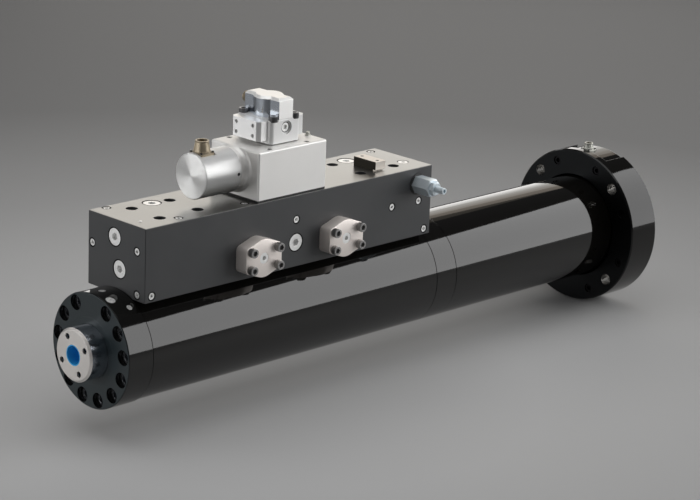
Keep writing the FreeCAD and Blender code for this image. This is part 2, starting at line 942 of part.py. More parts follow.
def extension_tube():
    """Tube around the tail rod, with the collar that the flange clamps."""
    body = new_body("extension_tube")
    recess = cover_radius + dim.fit_gap
    turned(body, "extension_turning", "x", [
        (ring_rear, bore_radius),
        (ring_rear, dim.tube_radius),
        (-dim.collar_thickness, dim.tube_radius),
        (-dim.collar_thickness, collar_radius),
        (as_size(0), collar_radius),
        (as_size(0), recess),
        (-dim.cover_thickness, recess),
        (-dim.cover_thickness, bore_radius),
    ])
    holes = mounting_hole(body, "collar_hole", -dim.collar_thickness, as_size(0))
    ringed(body, "collar_holes", [holes], dim.mounting_hole_count, as_size(FULL_TURN))
    first = polar(flange_circle, dim.flange_screw_angle)
    thread = dim.flange_screw_thread / 2 + dim.fit_gap
    end = -dim.collar_thickness + dim.flange_screw_reach + dim.thread_runout
    hole = pocket(body, "collar_thread", "x", -dim.collar_thickness, end, [(*first, thread)])
    ringed(body, "collar_threads", [hole], dim.flange_screw_count, as_size(FULL_TURN))
    cover_place = polar(cover_screw_circle, as_size(0))
    cover_thread = dim.cover_screw_thread / 2 + dim.fit_gap
    end = -dim.cover_thickness - dim.cover_screw_reach - dim.thread_runout
    cover_hole = pocket(body, "cover_thread", "x", end, -dim.cover_thickness, [(*cover_place, cover_thread)])
    ringed(body, "cover_threads", [cover_hole], dim.cover_screw_count, as_size(FULL_TURN))
    cable = (-dim.socket_place, as_size(0), dim.cable_hole_radius)
    pocket(body, "cable_hole", "z", bore_radius / 2, dim.tube_radius + dim.overcut, [cable])


def mounting_hole(body, name, low, high):
    first = polar(flange_circle, dim.mounting_hole_angle)
    return pocket(body, name, "x", low, high, [(*first, dim.mounting_hole_radius)])


def rear_flange():
    """Thick flange over the tube, clamped to the collar behind it."""
    body = new_body("rear_flange")
    front = -dim.flange_thickness
    bore = dim.tube_radius + dim.fit_gap
    collar = collar_radius + dim.fit_gap
    turned(body, "flange_turning", "x", [
        (front, bore + dim.flange_inner_bevel),
        (front, dim.flange_radius - dim.flange_bevel),
        (front + dim.flange_bevel, dim.flange_radius),
        (as_size(0), dim.flange_radius),
        (as_size(0), collar),
        (-dim.collar_thickness, collar),
        (-dim.collar_thickness, bore),
        (front + dim.flange_inner_bevel, bore),
    ])
    hole = mounting_hole(body, "flange_hole", front, -dim.collar_thickness)
    ringed(body, "flange_holes", [hole], dim.mounting_hole_count, as_size(FULL_TURN))
    first = polar(flange_circle, dim.flange_screw_angle)
    sink = front + dim.flange_screw_sink
    wide = dim.flange_screw_thread * dim.screw_head_ratio + dim.head_hole_gap
    seat = pocket(body, "flange_counterbore", "x", front, sink, [(*first, wide)])
    through = dim.flange_screw_thread / 2 + dim.hole_gap
    bolt = pocket(body, "flange_bolt_hole", "x", sink, -dim.collar_thickness, [(*first, through)])
    ringed(body, "flange_bolt_holes", [seat, bolt], dim.flange_screw_count, as_size(FULL_TURN))
    top = dim.flange_radius + dim.overcut
    cable = (-dim.socket_place, as_size(0), dim.cable_hole_radius)
    pocket(body, "flange_cable_hole", "z", dim.tube_radius / 2, top, [cable])
    half = dim.socket_base / 2 + dim.pad_gap
    pad_bottom = step_radius - dim.socket_pad_depth
    seat_outline = rectangle((-dim.socket_place - half, -half), (-dim.socket_place + half, half))
    pocket(body, "socket_pad", "z", pad_bottom, top, [seat_outline])
    window = box(
        "relief_window",
        (-dim.step_length, -dim.step_half_width, as_size(0)),
        (dim.overcut, dim.step_half_width, top),
    )
    core_ends = (-dim.step_length - dim.overcut, dim.overcut * 2)
    core = cylinder("relief_core", "x", *core_ends, as_size(0), as_size(0), step_radius)
    pieces.remove(body)
    body.Label = "rear_flange_turning"
    keep(cut("rear_flange_cut", body, cut("relief_tool", window, core)), "rear_flange")


def flange_screws():
    """Screws that clamp the flange to the collar of the tube."""
    screws = []
    sink = -dim.flange_thickness + dim.flange_screw_sink
    grip = -dim.collar_thickness - sink + dim.flange_screw_reach
    for number in range(int(SIZES["flange_screw_count"])):
        angle = dim.flange_screw_angle + FULL_TURN / dim.flange_screw_count * number
        across, up = polar(flange_circle, angle)
        name = f"flange_screw_{number}"
        screws.append(cap_screw(name, "x", -1, sink, across, up, dim.flange_screw_thread, grip))
    group("flange_screws", screws)


def rear_cover():
    """Cover that closes the tube behind the tail rod and carries the transducer."""
    body = new_body("rear_cover")
    rear = -dim.plug_sink
    turned(body, "cover_turning", "x", [
        (-dim.cover_thickness, as_size(0)),
        (-dim.cover_thickness, cover_radius),
        (rear, cover_radius),
        (rear, as_size(0)),
    ])
    first = polar(cover_screw_circle, as_size(0))
    wide = dim.cover_screw_thread * dim.screw_head_ratio + dim.hole_gap
    through = dim.cover_screw_thread / 2 + dim.hole_gap
    sink = -dim.cover_screw_sink
    seat = pocket(body, "cover_counterbore", "x", sink, rear, [(*first, wide)])
    hole = pocket(body, "cover_hole", "x", -dim.cover_thickness, sink, [(*first, through)])
    ringed(body, "cover_holes", [seat, hole], dim.cover_screw_count, as_size(FULL_TURN))


def cover_screws():
    """Screws of the rear cover."""
    screws = []
    grip = dim.cover_thickness - dim.cover_screw_sink + dim.cover_screw_reach
    for number in range(int(SIZES["cover_screw_count"])):
        across, up = polar(cover_screw_circle, FULL_TURN / dim.cover_screw_count * number)
        name = f"cover_screw_{number}"
        sink = -dim.cover_screw_sink
        screws.append(cap_screw(name, "x", 1, sink, across, up, dim.cover_screw_thread, grip))
    group("cover_screws", screws)


# Piston rod and what it carries
def piston_rod():
    """Double-ended rod: threaded bore and four tapped holes in front, bore for the probe behind."""
    body = new_body("piston_rod")
    bevel = dim.rod_bevel
    tail_bevel = dim.edge_bevel
    magnet_seat = dim.magnet_radius + dim.fit_gap
    turned(body, "rod_turning", "x", [
        (rod_front, dim.rod_bore_radius),
        (rod_front, dim.rod_radius - bevel),
        (rod_front + bevel, dim.rod_radius),
        (rod_rear - tail_bevel, dim.rod_radius),
        (rod_rear, dim.rod_radius - tail_bevel),
        (rod_rear, magnet_seat),
        (rod_rear - dim.magnet_length, magnet_seat),
        (rod_rear - dim.magnet_length, dim.tail_bore_radius),
        (tail_bore_front, dim.tail_bore_radius),
        (tail_bore_front, as_size(0)),
        (rod_front + dim.rod_bore_depth, as_size(0)),
        (rod_front + dim.rod_bore_depth, dim.rod_bore_radius),
    ])
    first = polar(rod_hole_circle, dim.rod_hole_angle)
    hole_end = rod_front + dim.rod_hole_depth
    hole = pocket(body, "rod_hole", "x", rod_front, hole_end, [(*first, dim.rod_hole_radius)])
    ringed(body, "rod_holes", [hole], dim.rod_hole_count, as_size(FULL_TURN))


def thread_protector():
    """Plastic cup in the threaded bore of the rod."""
    body = new_body("thread_protector")
    outer = dim.rod_bore_radius - dim.fit_gap
    inner = outer - dim.protector_wall
    bottom = rod_front + dim.protector_depth
    turned(body, "protector_turning", "x", [
        (rod_front, inner),
        (rod_front, outer),
        (bottom, outer),
        (bottom, as_size(0)),
        (bottom - dim.protector_wall, as_size(0)),
        (bottom - dim.protector_wall, inner),
    ])


def piston_places():
    """Starts and lengths of the grooves of the piston: two guide bands and the seal between them."""
    middle = (piston_front + piston_rear) / 2
    return [
        (piston_front + dim.band_inset, dim.band_length),
        (middle - dim.piston_seal_length / 2, dim.piston_seal_length),
        (piston_rear - dim.band_inset - dim.band_length, dim.band_length),
    ]


def piston():
    """Piston shrunk onto the rod, with grooves for its bands and seal."""
    body = new_body("piston")
    outer = bore_radius - dim.piston_gap
    floor = bore_radius - dim.band_depth
    outline = [(piston_front, dim.rod_radius), (piston_front, outer)]
    for start, length in piston_places():
        outline += [(start, outer), (start, floor), (start + length, floor), (start + length, outer)]
    outline += [(piston_rear, outer), (piston_rear, dim.rod_radius)]
    turned(body, "piston_turning", "x", outline)


def piston_rings():
    """Guide bands and seal of the piston."""
    floor = bore_radius - dim.band_depth
    outer = bore_radius - dim.running_gap
    front, middle, rear = [
        ring_solid(f"piston_ring_{number}", start, start + length, floor, outer)
        for number, (start, length) in enumerate(piston_places())
    ]
    group("piston_bands", [front, rear])
    keep(middle, "piston_seal")


def transducer():
    """Position transducer: housing on the rear cover, probe in the hollow tail rod, magnet on the rod."""
    housing_rear = -dim.cover_thickness
    housing_front = housing_rear - dim.transducer_length
    body = new_body("transducer")
    tip = housing_front - dim.probe_length
    turned(body, "transducer_turning", "x", [
        (tip, as_size(0)),
        (tip, dim.probe_radius),
        (housing_front, dim.probe_radius),
        (housing_front, dim.transducer_radius),
        (housing_rear, dim.transducer_radius),
        (housing_rear, as_size(0)),
    ])
    inner = dim.probe_radius + dim.magnet_gap
    magnet = ring_solid("magnet_ring", rod_rear - dim.magnet_length, rod_rear, inner, dim.magnet_radius)
    keep(magnet, "transducer_magnet")


def transducer_connector():
    """Connector in the relief on top of the flange, with four screws in its base."""
    bottom = step_radius - dim.socket_pad_depth
    top = bottom + dim.socket_base_height
    half = dim.socket_base / 2
    low = (-dim.socket_place - half, -half, bottom)
    base = box("transducer_base", low, (-dim.socket_place + half, half, top))
    barrel_top = top + dim.socket_height
    centre = (-dim.socket_place, as_size(0))
    barrel = cylinder("transducer_barrel", "z", top, barrel_top, *centre, dim.socket_radius)
    bore = socket_bore("transducer_socket", "z", barrel_top, 1, *centre, dim.socket_radius)
    blank = fuse("transducer_blank", [base, barrel])
    keep(cut("transducer_connector_cut", blank, bore), "transducer_connector")
    screw = (dim.socket_screw_radius, dim.socket_screw_height)
    return corner_screws("transducer_screw", top, centre, dim.socket_screw_pitch, screw)


def socket_bore(name, axis, mouth, way, across, up, radius):
    """The hollow of a round connector."""
    ends = ordered(mouth, -way, dim.connector_bore_depth)
    return cylinder(name, axis, *ends, across, up, radius * dim.connector_bore_ratio)


def corner_screws(name, bottom, centre, pitch, screw):
    """Four small screw heads at the corners of a connector's base."""
    radius, height = screw
    heads = []
    for x_way in (-1, 1):
        for y_way in (-1, 1):
            x = centre[0] + pitch / 2 * x_way
            y = centre[1] + pitch / 2 * y_way
            head = f"{name}_{x_way + 2}{y_way + 2}"
            heads.append(cylinder(head, "z", bottom, bottom + height, x, y, radius))
    return heads


# Manifold
PLUG_KINDS = {
    "small": (dim.small_plug_radius, dim.small_recess_radius),
    "medium": (dim.medium_plug_radius, dim.medium_recess_radius),
    "large": (dim.large_plug_radius, dim.large_recess_radius),
}


def plug_places():
    """Face, kind and place across the face of each manifold plug."""
    half = dim.manifold_half_width
    corner = flat_height + dim.corner_plug_rise
    corner_front = manifold_front + dim.corner_plug_inset
    corner_rear = manifold_rear - dim.corner_plug_inset
    side_x = (front_port_x + rear_port_x) / 2
    side_z = flat_height + dim.side_plug_rise
    relief_plug_z = flat_height + dim.relief_plug_rise
    large_y = half - dim.top_large_plug_margin
    return [
        ("front", "large", dim.upper_gallery_side, upper_gallery_z),
        ("front", "large", gallery_y, gallery_z),
        ("front", "small", half - dim.end_far_plug_margin, flat_height + dim.end_far_plug_rise),
        ("front", "small", dim.end_near_plug_margin - half, flat_height + dim.end_near_plug_rise),
        ("front", "small", dim.corner_plug_margin - half, corner),
        ("rear", "large", gallery_y, gallery_z),
        ("side", "small", corner_front, corner),
        ("side", "small", corner_rear, corner),
        ("side", "small", side_x, side_z),
        ("side", "large", side_x, flat_height + dim.side_large_plug_rise),
        ("side", "small", manifold_rear - dim.relief_front_plug_inset, relief_plug_z),
        ("side", "small", manifold_rear - dim.relief_rear_plug_inset, relief_plug_z),
        ("top", "small", manifold_front + dim.top_front_plug_inset, half - dim.top_front_plug_margin),
        ("top", "large", manifold_front + dim.top_large_front_inset, large_y),
        ("top", "large", manifold_rear - dim.top_large_rear_inset, large_y),
        ("top", "small", manifold_front + dim.top_near_plug_inset, dim.top_near_plug_margin - half),
        ("top", "small", manifold_front + dim.top_hidden_plug_inset, dim.top_hidden_plug_margin - half),
        ("top", "small", manifold_rear - dim.top_rear_plug_inset, half - dim.top_rear_plug_margin),
        ("top", "medium", manifold_rear - dim.top_end_plug_inset, dim.top_end_plug_margin - half),
    ]


# Axis, outward way and place of each manifold face
FACES = {
    "front": ("x", -1, manifold_front),
    "rear": ("x", 1, manifold_rear),
    "side": ("y", -1, manifold_face),
    "top": ("z", 1, manifold_top),
}


def manifold_block():
    """Black block on the flat of the tube, drilled for bolts, passages, plugs, ports and the relief valve."""
    body = new_body("manifold")
    half = dim.manifold_half_width
    outline = rectangle((-half, flat_height), (half, manifold_top))
    pad(body, "manifold_pad", "x", manifold_front, manifold_rear, [outline])
    straight = lambda edge: edge.Curve.TypeId == "Part::GeomLine"
    soften(body, "Chamfer", "manifold_edges", dim.manifold_bevel, straight)
    bolts = manifold_bolt_places()
    wide = dim.manifold_bolt_thread * dim.screw_head_ratio + dim.head_hole_gap
    through = dim.manifold_bolt_thread / 2 + dim.hole_gap
    sink = flat_height + dim.manifold_bolt_grip
    pocket(body, "bolt_counterbores", "z", sink, manifold_top, [(x, y, wide) for x, y in bolts])
    pocket(body, "bolt_holes", "z", flat_height, sink, [(x, y, through) for x, y in bolts])
    for face, (axis, way, surface) in FACES.items():
        places = [entry[1:] for entry in plug_places() if entry[0] == face]
        recesses = [(across, up, PLUG_KINDS[kind][1]) for kind, across, up in places]
        bores = [(across, up, PLUG_KINDS[kind][0] + dim.fit_gap) for kind, across, up in places]
        pocket(body, f"{face}_recesses", axis, *ordered(surface, -way, dim.recess_depth), recesses)
        plug_ends = ordered(surface, -way, dim.plug_sink + dim.plug_depth)
        pocket(body, f"{face}_plug_bores", axis, *plug_ends, bores)
    passages(body)
    port_bores(body)
    relief_seat(body)
    thread = dim.valve_screw_thread / 2 + dim.fit_gap
    end = manifold_top - dim.valve_screw_reach - dim.thread_runout
    pocket(body, "valve_threads", "z", end, manifold_top, [(x, y, thread) for x, y in valve_screw_places()])


def passages(body):
    """Two galleries, each with a drop to its port in the tube and a rise to the servovalve, and one above."""
    radius = dim.oil_port_radius
    front_port = (front_oil_port, gallery_y, radius)
    rear_port = (rear_oil_port, gallery_y, radius)
    pocket(body, "port_drops", "z", flat_height, gallery_z, [front_port, rear_port])
    front_rise = (valve_front_port, gallery_y, radius)
    rear_rise = (valve_rear_port, gallery_y, radius)
    pocket(body, "valve_rises", "z", gallery_z, manifold_top, [front_rise, rear_rise])
    gallery = [(gallery_y, gallery_z, dim.gallery_radius)]
    pocket(body, "front_gallery", "x", manifold_front, valve_front_port, gallery)
    pocket(body, "rear_gallery", "x", valve_rear_port, manifold_rear, gallery)
    upper = [(dim.upper_gallery_side, upper_gallery_z, dim.gallery_radius)]
    pocket(body, "upper_gallery", "x", manifold_front, manifold_front + dim.upper_gallery_depth, upper)


def port_centres():
    return [front_port_x, rear_port_x]


def port_corners(x):
    """The four screws around a port."""
    long = dim.port_pitch_long / 2
    short = dim.port_pitch_short / 2
    return [(x + long * a, port_z + short * b) for a in (-1, 1) for b in (-1, 1)]


def port_bores(body):
    """Pressure and return ports with the threads around them."""
    bores = [(x, port_z, dim.port_bore_radius) for x in port_centres()]
    pocket(body, "port_bores", "y", manifold_face, manifold_face + dim.port_bore_depth, bores)
    thread = dim.port_screw_thread / 2 + dim.fit_gap
    holes = [(x, z, thread) for centre in port_centres() for x, z in port_corners(centre)]
    end = manifold_face + dim.port_screw_reach + dim.thread_runout
    pocket(body, "port_threads", "y", manifold_face, end, holes)


def relief_seat(body):
    """Stepped bore of the relief valve."""
    floor = manifold_face + dim.relief_recess_depth
    centre = (relief_x, relief_z)
    pocket(body, "relief_recess", "y", manifold_face, floor, [(*centre, dim.relief_recess_radius)])
    cartridge = dim.relief_cartridge_radius + dim.fit_gap
    pocket(body, "relief_bore", "y", floor, floor + dim.relief_cartridge_depth, [(*centre, cartridge)])


def manifold_plugs():
    """Plugs that close the drillings of the manifold."""
    plugs = []
    for number, (face, kind, across, up) in enumerate(plug_places()):
        axis, way, surface = FACES[face]
        radius = PLUG_KINDS[kind][0]
        plugs.append(plug(f"{kind}_plug_{number}", axis, way, surface, across, up, radius, dim.plug_depth))
    group("manifold_plugs", plugs)


def manifold_bolts():
    """Bolts deep in their counterbores that hold the manifold to the tube."""
    seat = flat_height + dim.manifold_bolt_grip
    grip = dim.manifold_bolt_grip + dim.manifold_bolt_reach
    bolts = [
        cap_screw(f"manifold_bolt_{number}", "z", 1, seat, x, y, dim.manifold_bolt_thread, grip)
        for number, (x, y) in enumerate(manifold_bolt_places())
    ]
    group("manifold_bolts", bolts)


def port_cover(name, x):
    """Four-bolt cover plate: a rounded plate with a round boss through its middle."""
    body = new_body(name)
    front = manifold_face - dim.cover_plate_thickness
    half_long = dim.cover_plate_length / 2
    half_high = dim.cover_plate_height / 2
    low = (x - half_long, port_z - half_high)
    high = (x + half_long, port_z + half_high)
    pad(body, name + "_plate", "y", front, manifold_face, [rectangle(low, high)])
    soften(body, "Fillet", name + "_corners", dim.cover_corner, lambda edge: runs_along(edge, "y"))
    pad(body, name + "_boss", "y", front, manifold_face, [(x, port_z, dim.cover_bulge_radius)])
    through = dim.port_screw_thread / 2 + dim.hole_gap
    holes = [(*corner, through) for corner in port_corners(x)]
    pocket(body, name + "_holes", "y", front, manifold_face, holes)
    bore = dim.port_plug_radius + dim.fit_gap
    pocket(body, name + "_bore", "y", front, manifold_face, [(x, port_z, bore)])


def port_covers():
    """Cover plates of the two ports, their screws and the plugs in their middle."""
    names = ("front_port_cover", "rear_port_cover")
    front = manifold_face - dim.cover_plate_thickness
    grip = dim.cover_plate_thickness + dim.port_screw_reach
    screws = []
    plugs = []
    thread = dim.port_screw_thread
    for name, x in zip(names, port_centres()):
        port_cover(name, x)
        for number, (across, up) in enumerate(port_corners(x)):
            screws.append(cap_screw(f"{name}_screw_{number}", "y", -1, front, across, up, thread, grip))
        centre = (x, port_z)
        plugs.append(plug(name + "_plug", "y", -1, front, *centre, dim.port_plug_radius, dim.plug_depth))
    group("port_cover_screws", screws)
    group("port_cover_plugs", plugs)


# Relief valve, screwed into the side of the manifold
def relief_valve():
    centre = (relief_x, relief_z)
    floor = manifold_face + dim.relief_recess_depth
    outer = floor - dim.relief_hex_length
    inner = floor + dim.relief_cartridge_depth
    seat = inner - dim.relief_seat_depth
    thread_end = outer + dim.adjuster_inside
    thread = dim.adjuster_radius + dim.running_gap
    head = nut("relief_hex", "y", floor, -1, dim.relief_hex_length, centre, dim.relief_hex / 2)
    cartridge = cylinder("relief_cartridge", "y", floor, inner, *centre, dim.relief_cartridge_radius)
    screw_bore = cylinder("relief_screw_bore", "y", outer, thread_end, *centre, thread)
    chamber = cylinder("relief_chamber", "y", thread_end, seat, *centre, dim.relief_bore_radius)
    orifice = cylinder("relief_orifice", "y", seat, inner, *centre, dim.relief_seat_radius)
    hollow = fuse("relief_hollow", [screw_bore, chamber, orifice])
    keep(cut("relief_body_cut", fuse("relief_blank", [head, cartridge]), hollow), "relief_body")
    nut_end = outer - dim.locknut_length
    locknut = nut("relief_nut", "y", outer, -1, dim.locknut_length, centre, dim.locknut_hex / 2)
    nut_bore = cylinder("relief_nut_bore", "y", nut_end, outer, *centre, thread)
    keep(cut("relief_nut_cut", locknut, nut_bore), "relief_locknut")
    tip = outer - dim.adjuster_reach
    screw = cylinder("relief_screw", "y", tip, thread_end, *centre, dim.adjuster_radius)
    socket_end = tip + dim.adjuster_radius
    socket = hexagon("relief_screw_socket", "y", tip, socket_end, *centre, dim.adjuster_radius / 2)
    keep(cut("relief_adjuster_cut", screw, socket), "relief_adjuster")
    relief_inside(centre, thread_end, seat)


def relief_inside(centre, thread_end, seat):
    """Poppet on its seat and the spring behind it."""
    body = new_body("relief_poppet")
    guide = dim.relief_bore_radius - dim.running_gap
    nose = dim.relief_seat_radius - dim.poppet_lift
    back = seat - dim.poppet_length
    turned(body, "poppet_turning", "y", [
        (back, as_size(0)),
        (back, guide),
        (seat - guide + nose, guide),
        (seat, nose),
        (seat, as_size(0)),
    ])
    place(body, (centre[0], as_size(0), centre[1]))
    spring = new_body("relief_spring")
    turned(spring, "spring_turning", "y", [
        (thread_end, dim.spring_inner_radius),
        (thread_end, dim.spring_outer_radius),
        (back, dim.spring_outer_radius),
        (back, dim.spring_inner_radius),
    ])
    place(spring, (centre[0], as_size(0), centre[1]))


def bracket():
    """Block across the top of the manifold with two sunk screws and a notch under its near end."""
    x = manifold_rear - dim.bracket_inset
    y = manifold_face + dim.bracket_margin
    far = y + dim.bracket_width
    top = manifold_top + dim.bracket_height
    block = box("bracket_blank", (x, y, manifold_top), (x + dim.bracket_length, far, top))
    notch_low = (x, y, manifold_top)
    notch_high = (x + dim.bracket_length, y + dim.bracket_notch, manifold_top + dim.bracket_notch / 2)
    thread = dim.bracket_screw_thread
    middle = x + dim.bracket_length / 2
    tools = [box("bracket_notch", notch_low, notch_high)]
    screws = []
    for name, across in (("near", y + dim.bracket_screw_inset), ("far", far - dim.bracket_screw_inset)):
        wide = thread * dim.screw_head_ratio + dim.hole_gap
        sink = top - thread
        tools.append(cylinder(f"bracket_{name}_counterbore", "z", sink, top, middle, across, wide))
        hole = thread / 2 + dim.fit_gap
        tools.append(cylinder(f"bracket_{name}_hole", "z", manifold_top, sink, middle, across, hole))
        grip = dim.bracket_height - thread
        screws.append(cap_screw(f"bracket_{name}_screw", "z", 1, sink, middle, across, thread, grip))
    keep(cut("bracket_cut", block, fuse("bracket_tools", tools)), "bracket_block")
    group("bracket_screws", screws)


# Servovalve main stage
def valve_screw_places():
    """The four screws that go down through the valve body into the manifold."""
    front = valve_x + dim.valve_screw_front
    rear = valve_x + dim.valve_screw_rear
    near_side = valve_y + dim.valve_screw_inset
    far_side = valve_far - dim.valve_screw_inset
    return [(x, y) for x in (front, rear) for y in (near_side, far_side)]


def servo_plate():
    """Seal plate under the servovalve."""
    inset = dim.valve_plate_inset
    low = (valve_x + inset, valve_y + inset, manifold_top)
    plate = box("servo_plate_blank", low, (valve_rear - inset, valve_far - inset, valve_base))
    through = dim.valve_screw_thread / 2 + dim.hole_gap
    holes = [
        cylinder(f"servo_plate_hole_{number}", "z", manifold_top, valve_base, x, y, through)
        for number, (x, y) in enumerate(valve_screw_places())
    ]
    port = dim.oil_port_radius
    holes += [
        cylinder(f"servo_plate_port_{number}", "z", manifold_top, valve_base, x, gallery_y, port)
        for number, x in enumerate((valve_front_port, valve_rear_port))
    ]
    return cut("servo_plate", plate, fuse("servo_plate_holes", holes))


def servo_body():
    """Main-stage body: a block with a flared round neck for the spool sensor."""
    body = new_body("servo_block")
    pieces.remove(body)
    outline = rectangle((valve_y, valve_base), (valve_far, valve_top))
    pad(body, "servo_pad", "x", valve_x, valve_rear, [outline])
    soften(body, "Fillet", "servo_edges", dim.valve_corner, is_upper_or_standing)
    wide = dim.valve_screw_thread * dim.screw_head_ratio + dim.hole_gap
    through = dim.valve_screw_thread / 2 + dim.hole_gap
    sink = valve_top - dim.valve_screw_sink
    places = valve_screw_places()
    pocket(body, "servo_counterbores", "z", sink, valve_top, [(x, y, wide) for x, y in places])
    pocket(body, "servo_screw_holes", "z", valve_base, sink, [(x, y, through) for x, y in places])
    thread = dim.pilot_screw_thread / 2 + dim.fit_gap
    end = valve_top - dim.pilot_screw_reach - dim.thread_runout
    pocket(body, "pilot_threads", "z", end, valve_top, [(x, y, thread) for x, y in pilot_screw_places()])
    cap_thread = dim.end_cap_screw_thread / 2 + dim.fit_gap
    cap_holes = [(y, z, cap_thread) for y, z in end_cap_corners()]
    cap_end = valve_rear - dim.end_cap_screw_reach - dim.thread_runout
    pocket(body, "end_cap_threads", "x", cap_end, valve_rear, cap_holes)
    neck = servo_neck()
    blank = fuse("servo_blank", [body, neck])
    bore = cylinder("sleeve_bore", "x", neck_front, valve_rear, spool_y, spool_z, dim.sleeve_radius)
    keep(cut("servo_body_cut", blank, bore), "servo_body")


def is_upper_or_standing(edge):
    """Edges of the valve block that are rounded: the standing ones and the long ones on top."""
    if runs_along(edge, "z"):
        return True
    return near(edge.BoundBox.ZMin, valve_top)


def servo_neck():
    """Neck of the valve body, turned with a flare and trimmed to the block's own height and width."""
    body = doc.addObject("PartDesign::Body", "servo_neck_turning")
    turned(body, "neck_turning", "x", [
        (neck_front, as_size(0)),
        (neck_front, neck_radius),
        (valve_x - dim.flare_length, neck_radius),
        (valve_x - dim.flare_knee_length, neck_radius + dim.flare_knee_rise),
        (valve_x, neck_radius + dim.flare_rise),
        (valve_x, as_size(0)),
    ])
    place(body, (as_size(0), spool_y, spool_z))
    trim = box("neck_trim", (neck_front - dim.overcut, valve_y, valve_base), (valve_x, valve_far, valve_top))
    neck = doc.addObject("Part::MultiCommon", "servo_neck")
    neck.Shapes = [body, trim]
    return neck


def valve_screws():
    """Long screws of the servovalve."""
    seat = valve_top - dim.valve_screw_sink
    grip = seat - manifold_top + dim.valve_screw_reach
    screws = [
        cap_screw(f"valve_screw_{number}", "z", 1, seat, x, y, dim.valve_screw_thread, grip)
        for number, (x, y) in enumerate(valve_screw_places())
    ]
    group("valve_screws", screws)


def main_spool():
    """Sleeve in the valve body and the spool in it, with the stem of the position sensor."""
    bore = dim.spool_radius + dim.running_gap
    front = valve_x + dim.sleeve_inset
    rear = valve_rear - dim.sleeve_inset
    sleeve = new_body("spool_sleeve")
    turned(sleeve, "sleeve_turning", "x", ring_outline(front, rear, bore, dim.sleeve_radius))
    place(sleeve, (as_size(0), spool_y, spool_z))
    spool = new_body("main_spool")
    land = dim.spool_land
    first = front + dim.spool_travel * 2
    last = rear - dim.spool_travel * 2
    pitch = (last - first - land) / (SPOOL_LANDS - 1)
    outline = [(first - dim.stem_length, as_size(0)), (first - dim.stem_length, dim.stem_radius)]
    outline += [(first, dim.stem_radius)]
    for number in range(SPOOL_LANDS):
        start = first + pitch * number
        outline += [(start, dim.spool_radius), (start + land, dim.spool_radius)]
        if number < SPOOL_LANDS - 1:
            outline += [(start + land, dim.spool_groove_radius), (start + pitch, dim.spool_groove_radius)]
    outline += [(last, as_size(0))]
    turned(spool, "spool_turning", "x", outline)
    place(spool, (as_size(0), spool_y, spool_z))
    core = new_body("sensor_core")
    core_rear = first - dim.stem_length
    turned(core, "core_turning", "x", [
        (core_rear - dim.core_length, as_size(0)),
        (core_rear - dim.core_length, dim.core_radius),
        (core_rear, dim.core_radius),
        (core_rear, as_size(0)),
    ])
    place(core, (as_size(0), spool_y, spool_z))


def end_cap_corners():
    half = dim.end_cap_screw_pitch / 2
    return [(spool_y + half * a, spool_z + half * b) for a in (-1, 1) for b in (-1, 1)]


def end_cap():
    """Cap over the rear end of the spool bore."""
    body = new_body("spool_end_cap")
    rear = valve_rear + dim.end_cap_thickness
    pad(body, "end_cap_pad", "x", valve_rear, rear, [square(spool_y, spool_z, dim.end_cap_size)])
    soften(body, "Chamfer", "end_cap_edges", dim.valve_corner, lambda edge: runs_along(edge, "x"))
    through = dim.end_cap_screw_thread / 2 + dim.hole_gap
    pocket(body, "end_cap_holes", "x", valve_rear, rear, [(y, z, through) for y, z in end_cap_corners()])
    grip = dim.end_cap_thickness + dim.end_cap_screw_reach
    screws = [
        cap_screw(f"end_cap_screw_{number}", "x", 1, rear, y, z, dim.end_cap_screw_thread, grip)
        for number, (y, z) in enumerate(end_cap_corners())
    ]
    group("end_cap_screws", screws)


# Spool position sensor
def sensor_cover():
    """Turned cover of the spool sensor with a flat for its connector."""
    body = new_body("sensor_cover")
    cavity = dim.sensor_radius - dim.sensor_wall
    inner_front = sensor_front + dim.sensor_front_wall
    bevel = dim.edge_bevel
    turned(body, "sensor_turning", "x", [
        (sensor_front, as_size(0)),
        (sensor_front, dim.sensor_radius - bevel),
        (sensor_front + bevel, dim.sensor_radius),
        (neck_front, dim.sensor_radius),
        (neck_front, cavity),
        (inner_front, cavity),
        (inner_front, as_size(0)),
    ])
    place(body, (as_size(0), spool_y, spool_z))
    x = sensor_front + dim.sensor_socket_place
    half = dim.sensor_socket_base / 2 + dim.pad_gap
    flat = rectangle((x - half, -dim.sensor_radius), (x + half, dim.sensor_radius))
    floor = dim.sensor_radius - dim.sensor_flat_depth
    pocket(body, "sensor_flat", "z", floor, dim.sensor_radius + dim.overcut, [flat])
    screw = (sensor_front + dim.set_screw_place, as_size(0), dim.set_screw_radius + dim.fit_gap)
    pocket(body, "set_screw_hole", "y", -dim.sensor_radius, -dim.sensor_radius + dim.sensor_wall, [screw])


def sensor_parts():
    """Coil, locking screw and connector of the spool sensor."""
    coil = new_body("sensor_coil")
    front = sensor_front + dim.sensor_front_wall
    outline = ring_outline(front, front + dim.coil_length, dim.coil_bore_radius, dim.coil_radius)
    turned(coil, "coil_turning", "x", outline)
    place(coil, (as_size(0), spool_y, spool_z))
    outside = spool_y - dim.sensor_radius + dim.plug_sink
    x = sensor_front + dim.set_screw_place
    inside = outside + dim.sensor_wall - dim.plug_sink
    blank = cylinder("set_screw_blank", "y", outside, inside, x, spool_z, dim.set_screw_radius)
    socket_end = outside + dim.set_screw_radius
    hollow = dim.set_screw_radius / 2
    socket = hexagon("set_screw_socket", "y", outside, socket_end, x, spool_z, hollow)
    keep(cut("set_screw_cut", blank, socket), "sensor_set_screw")


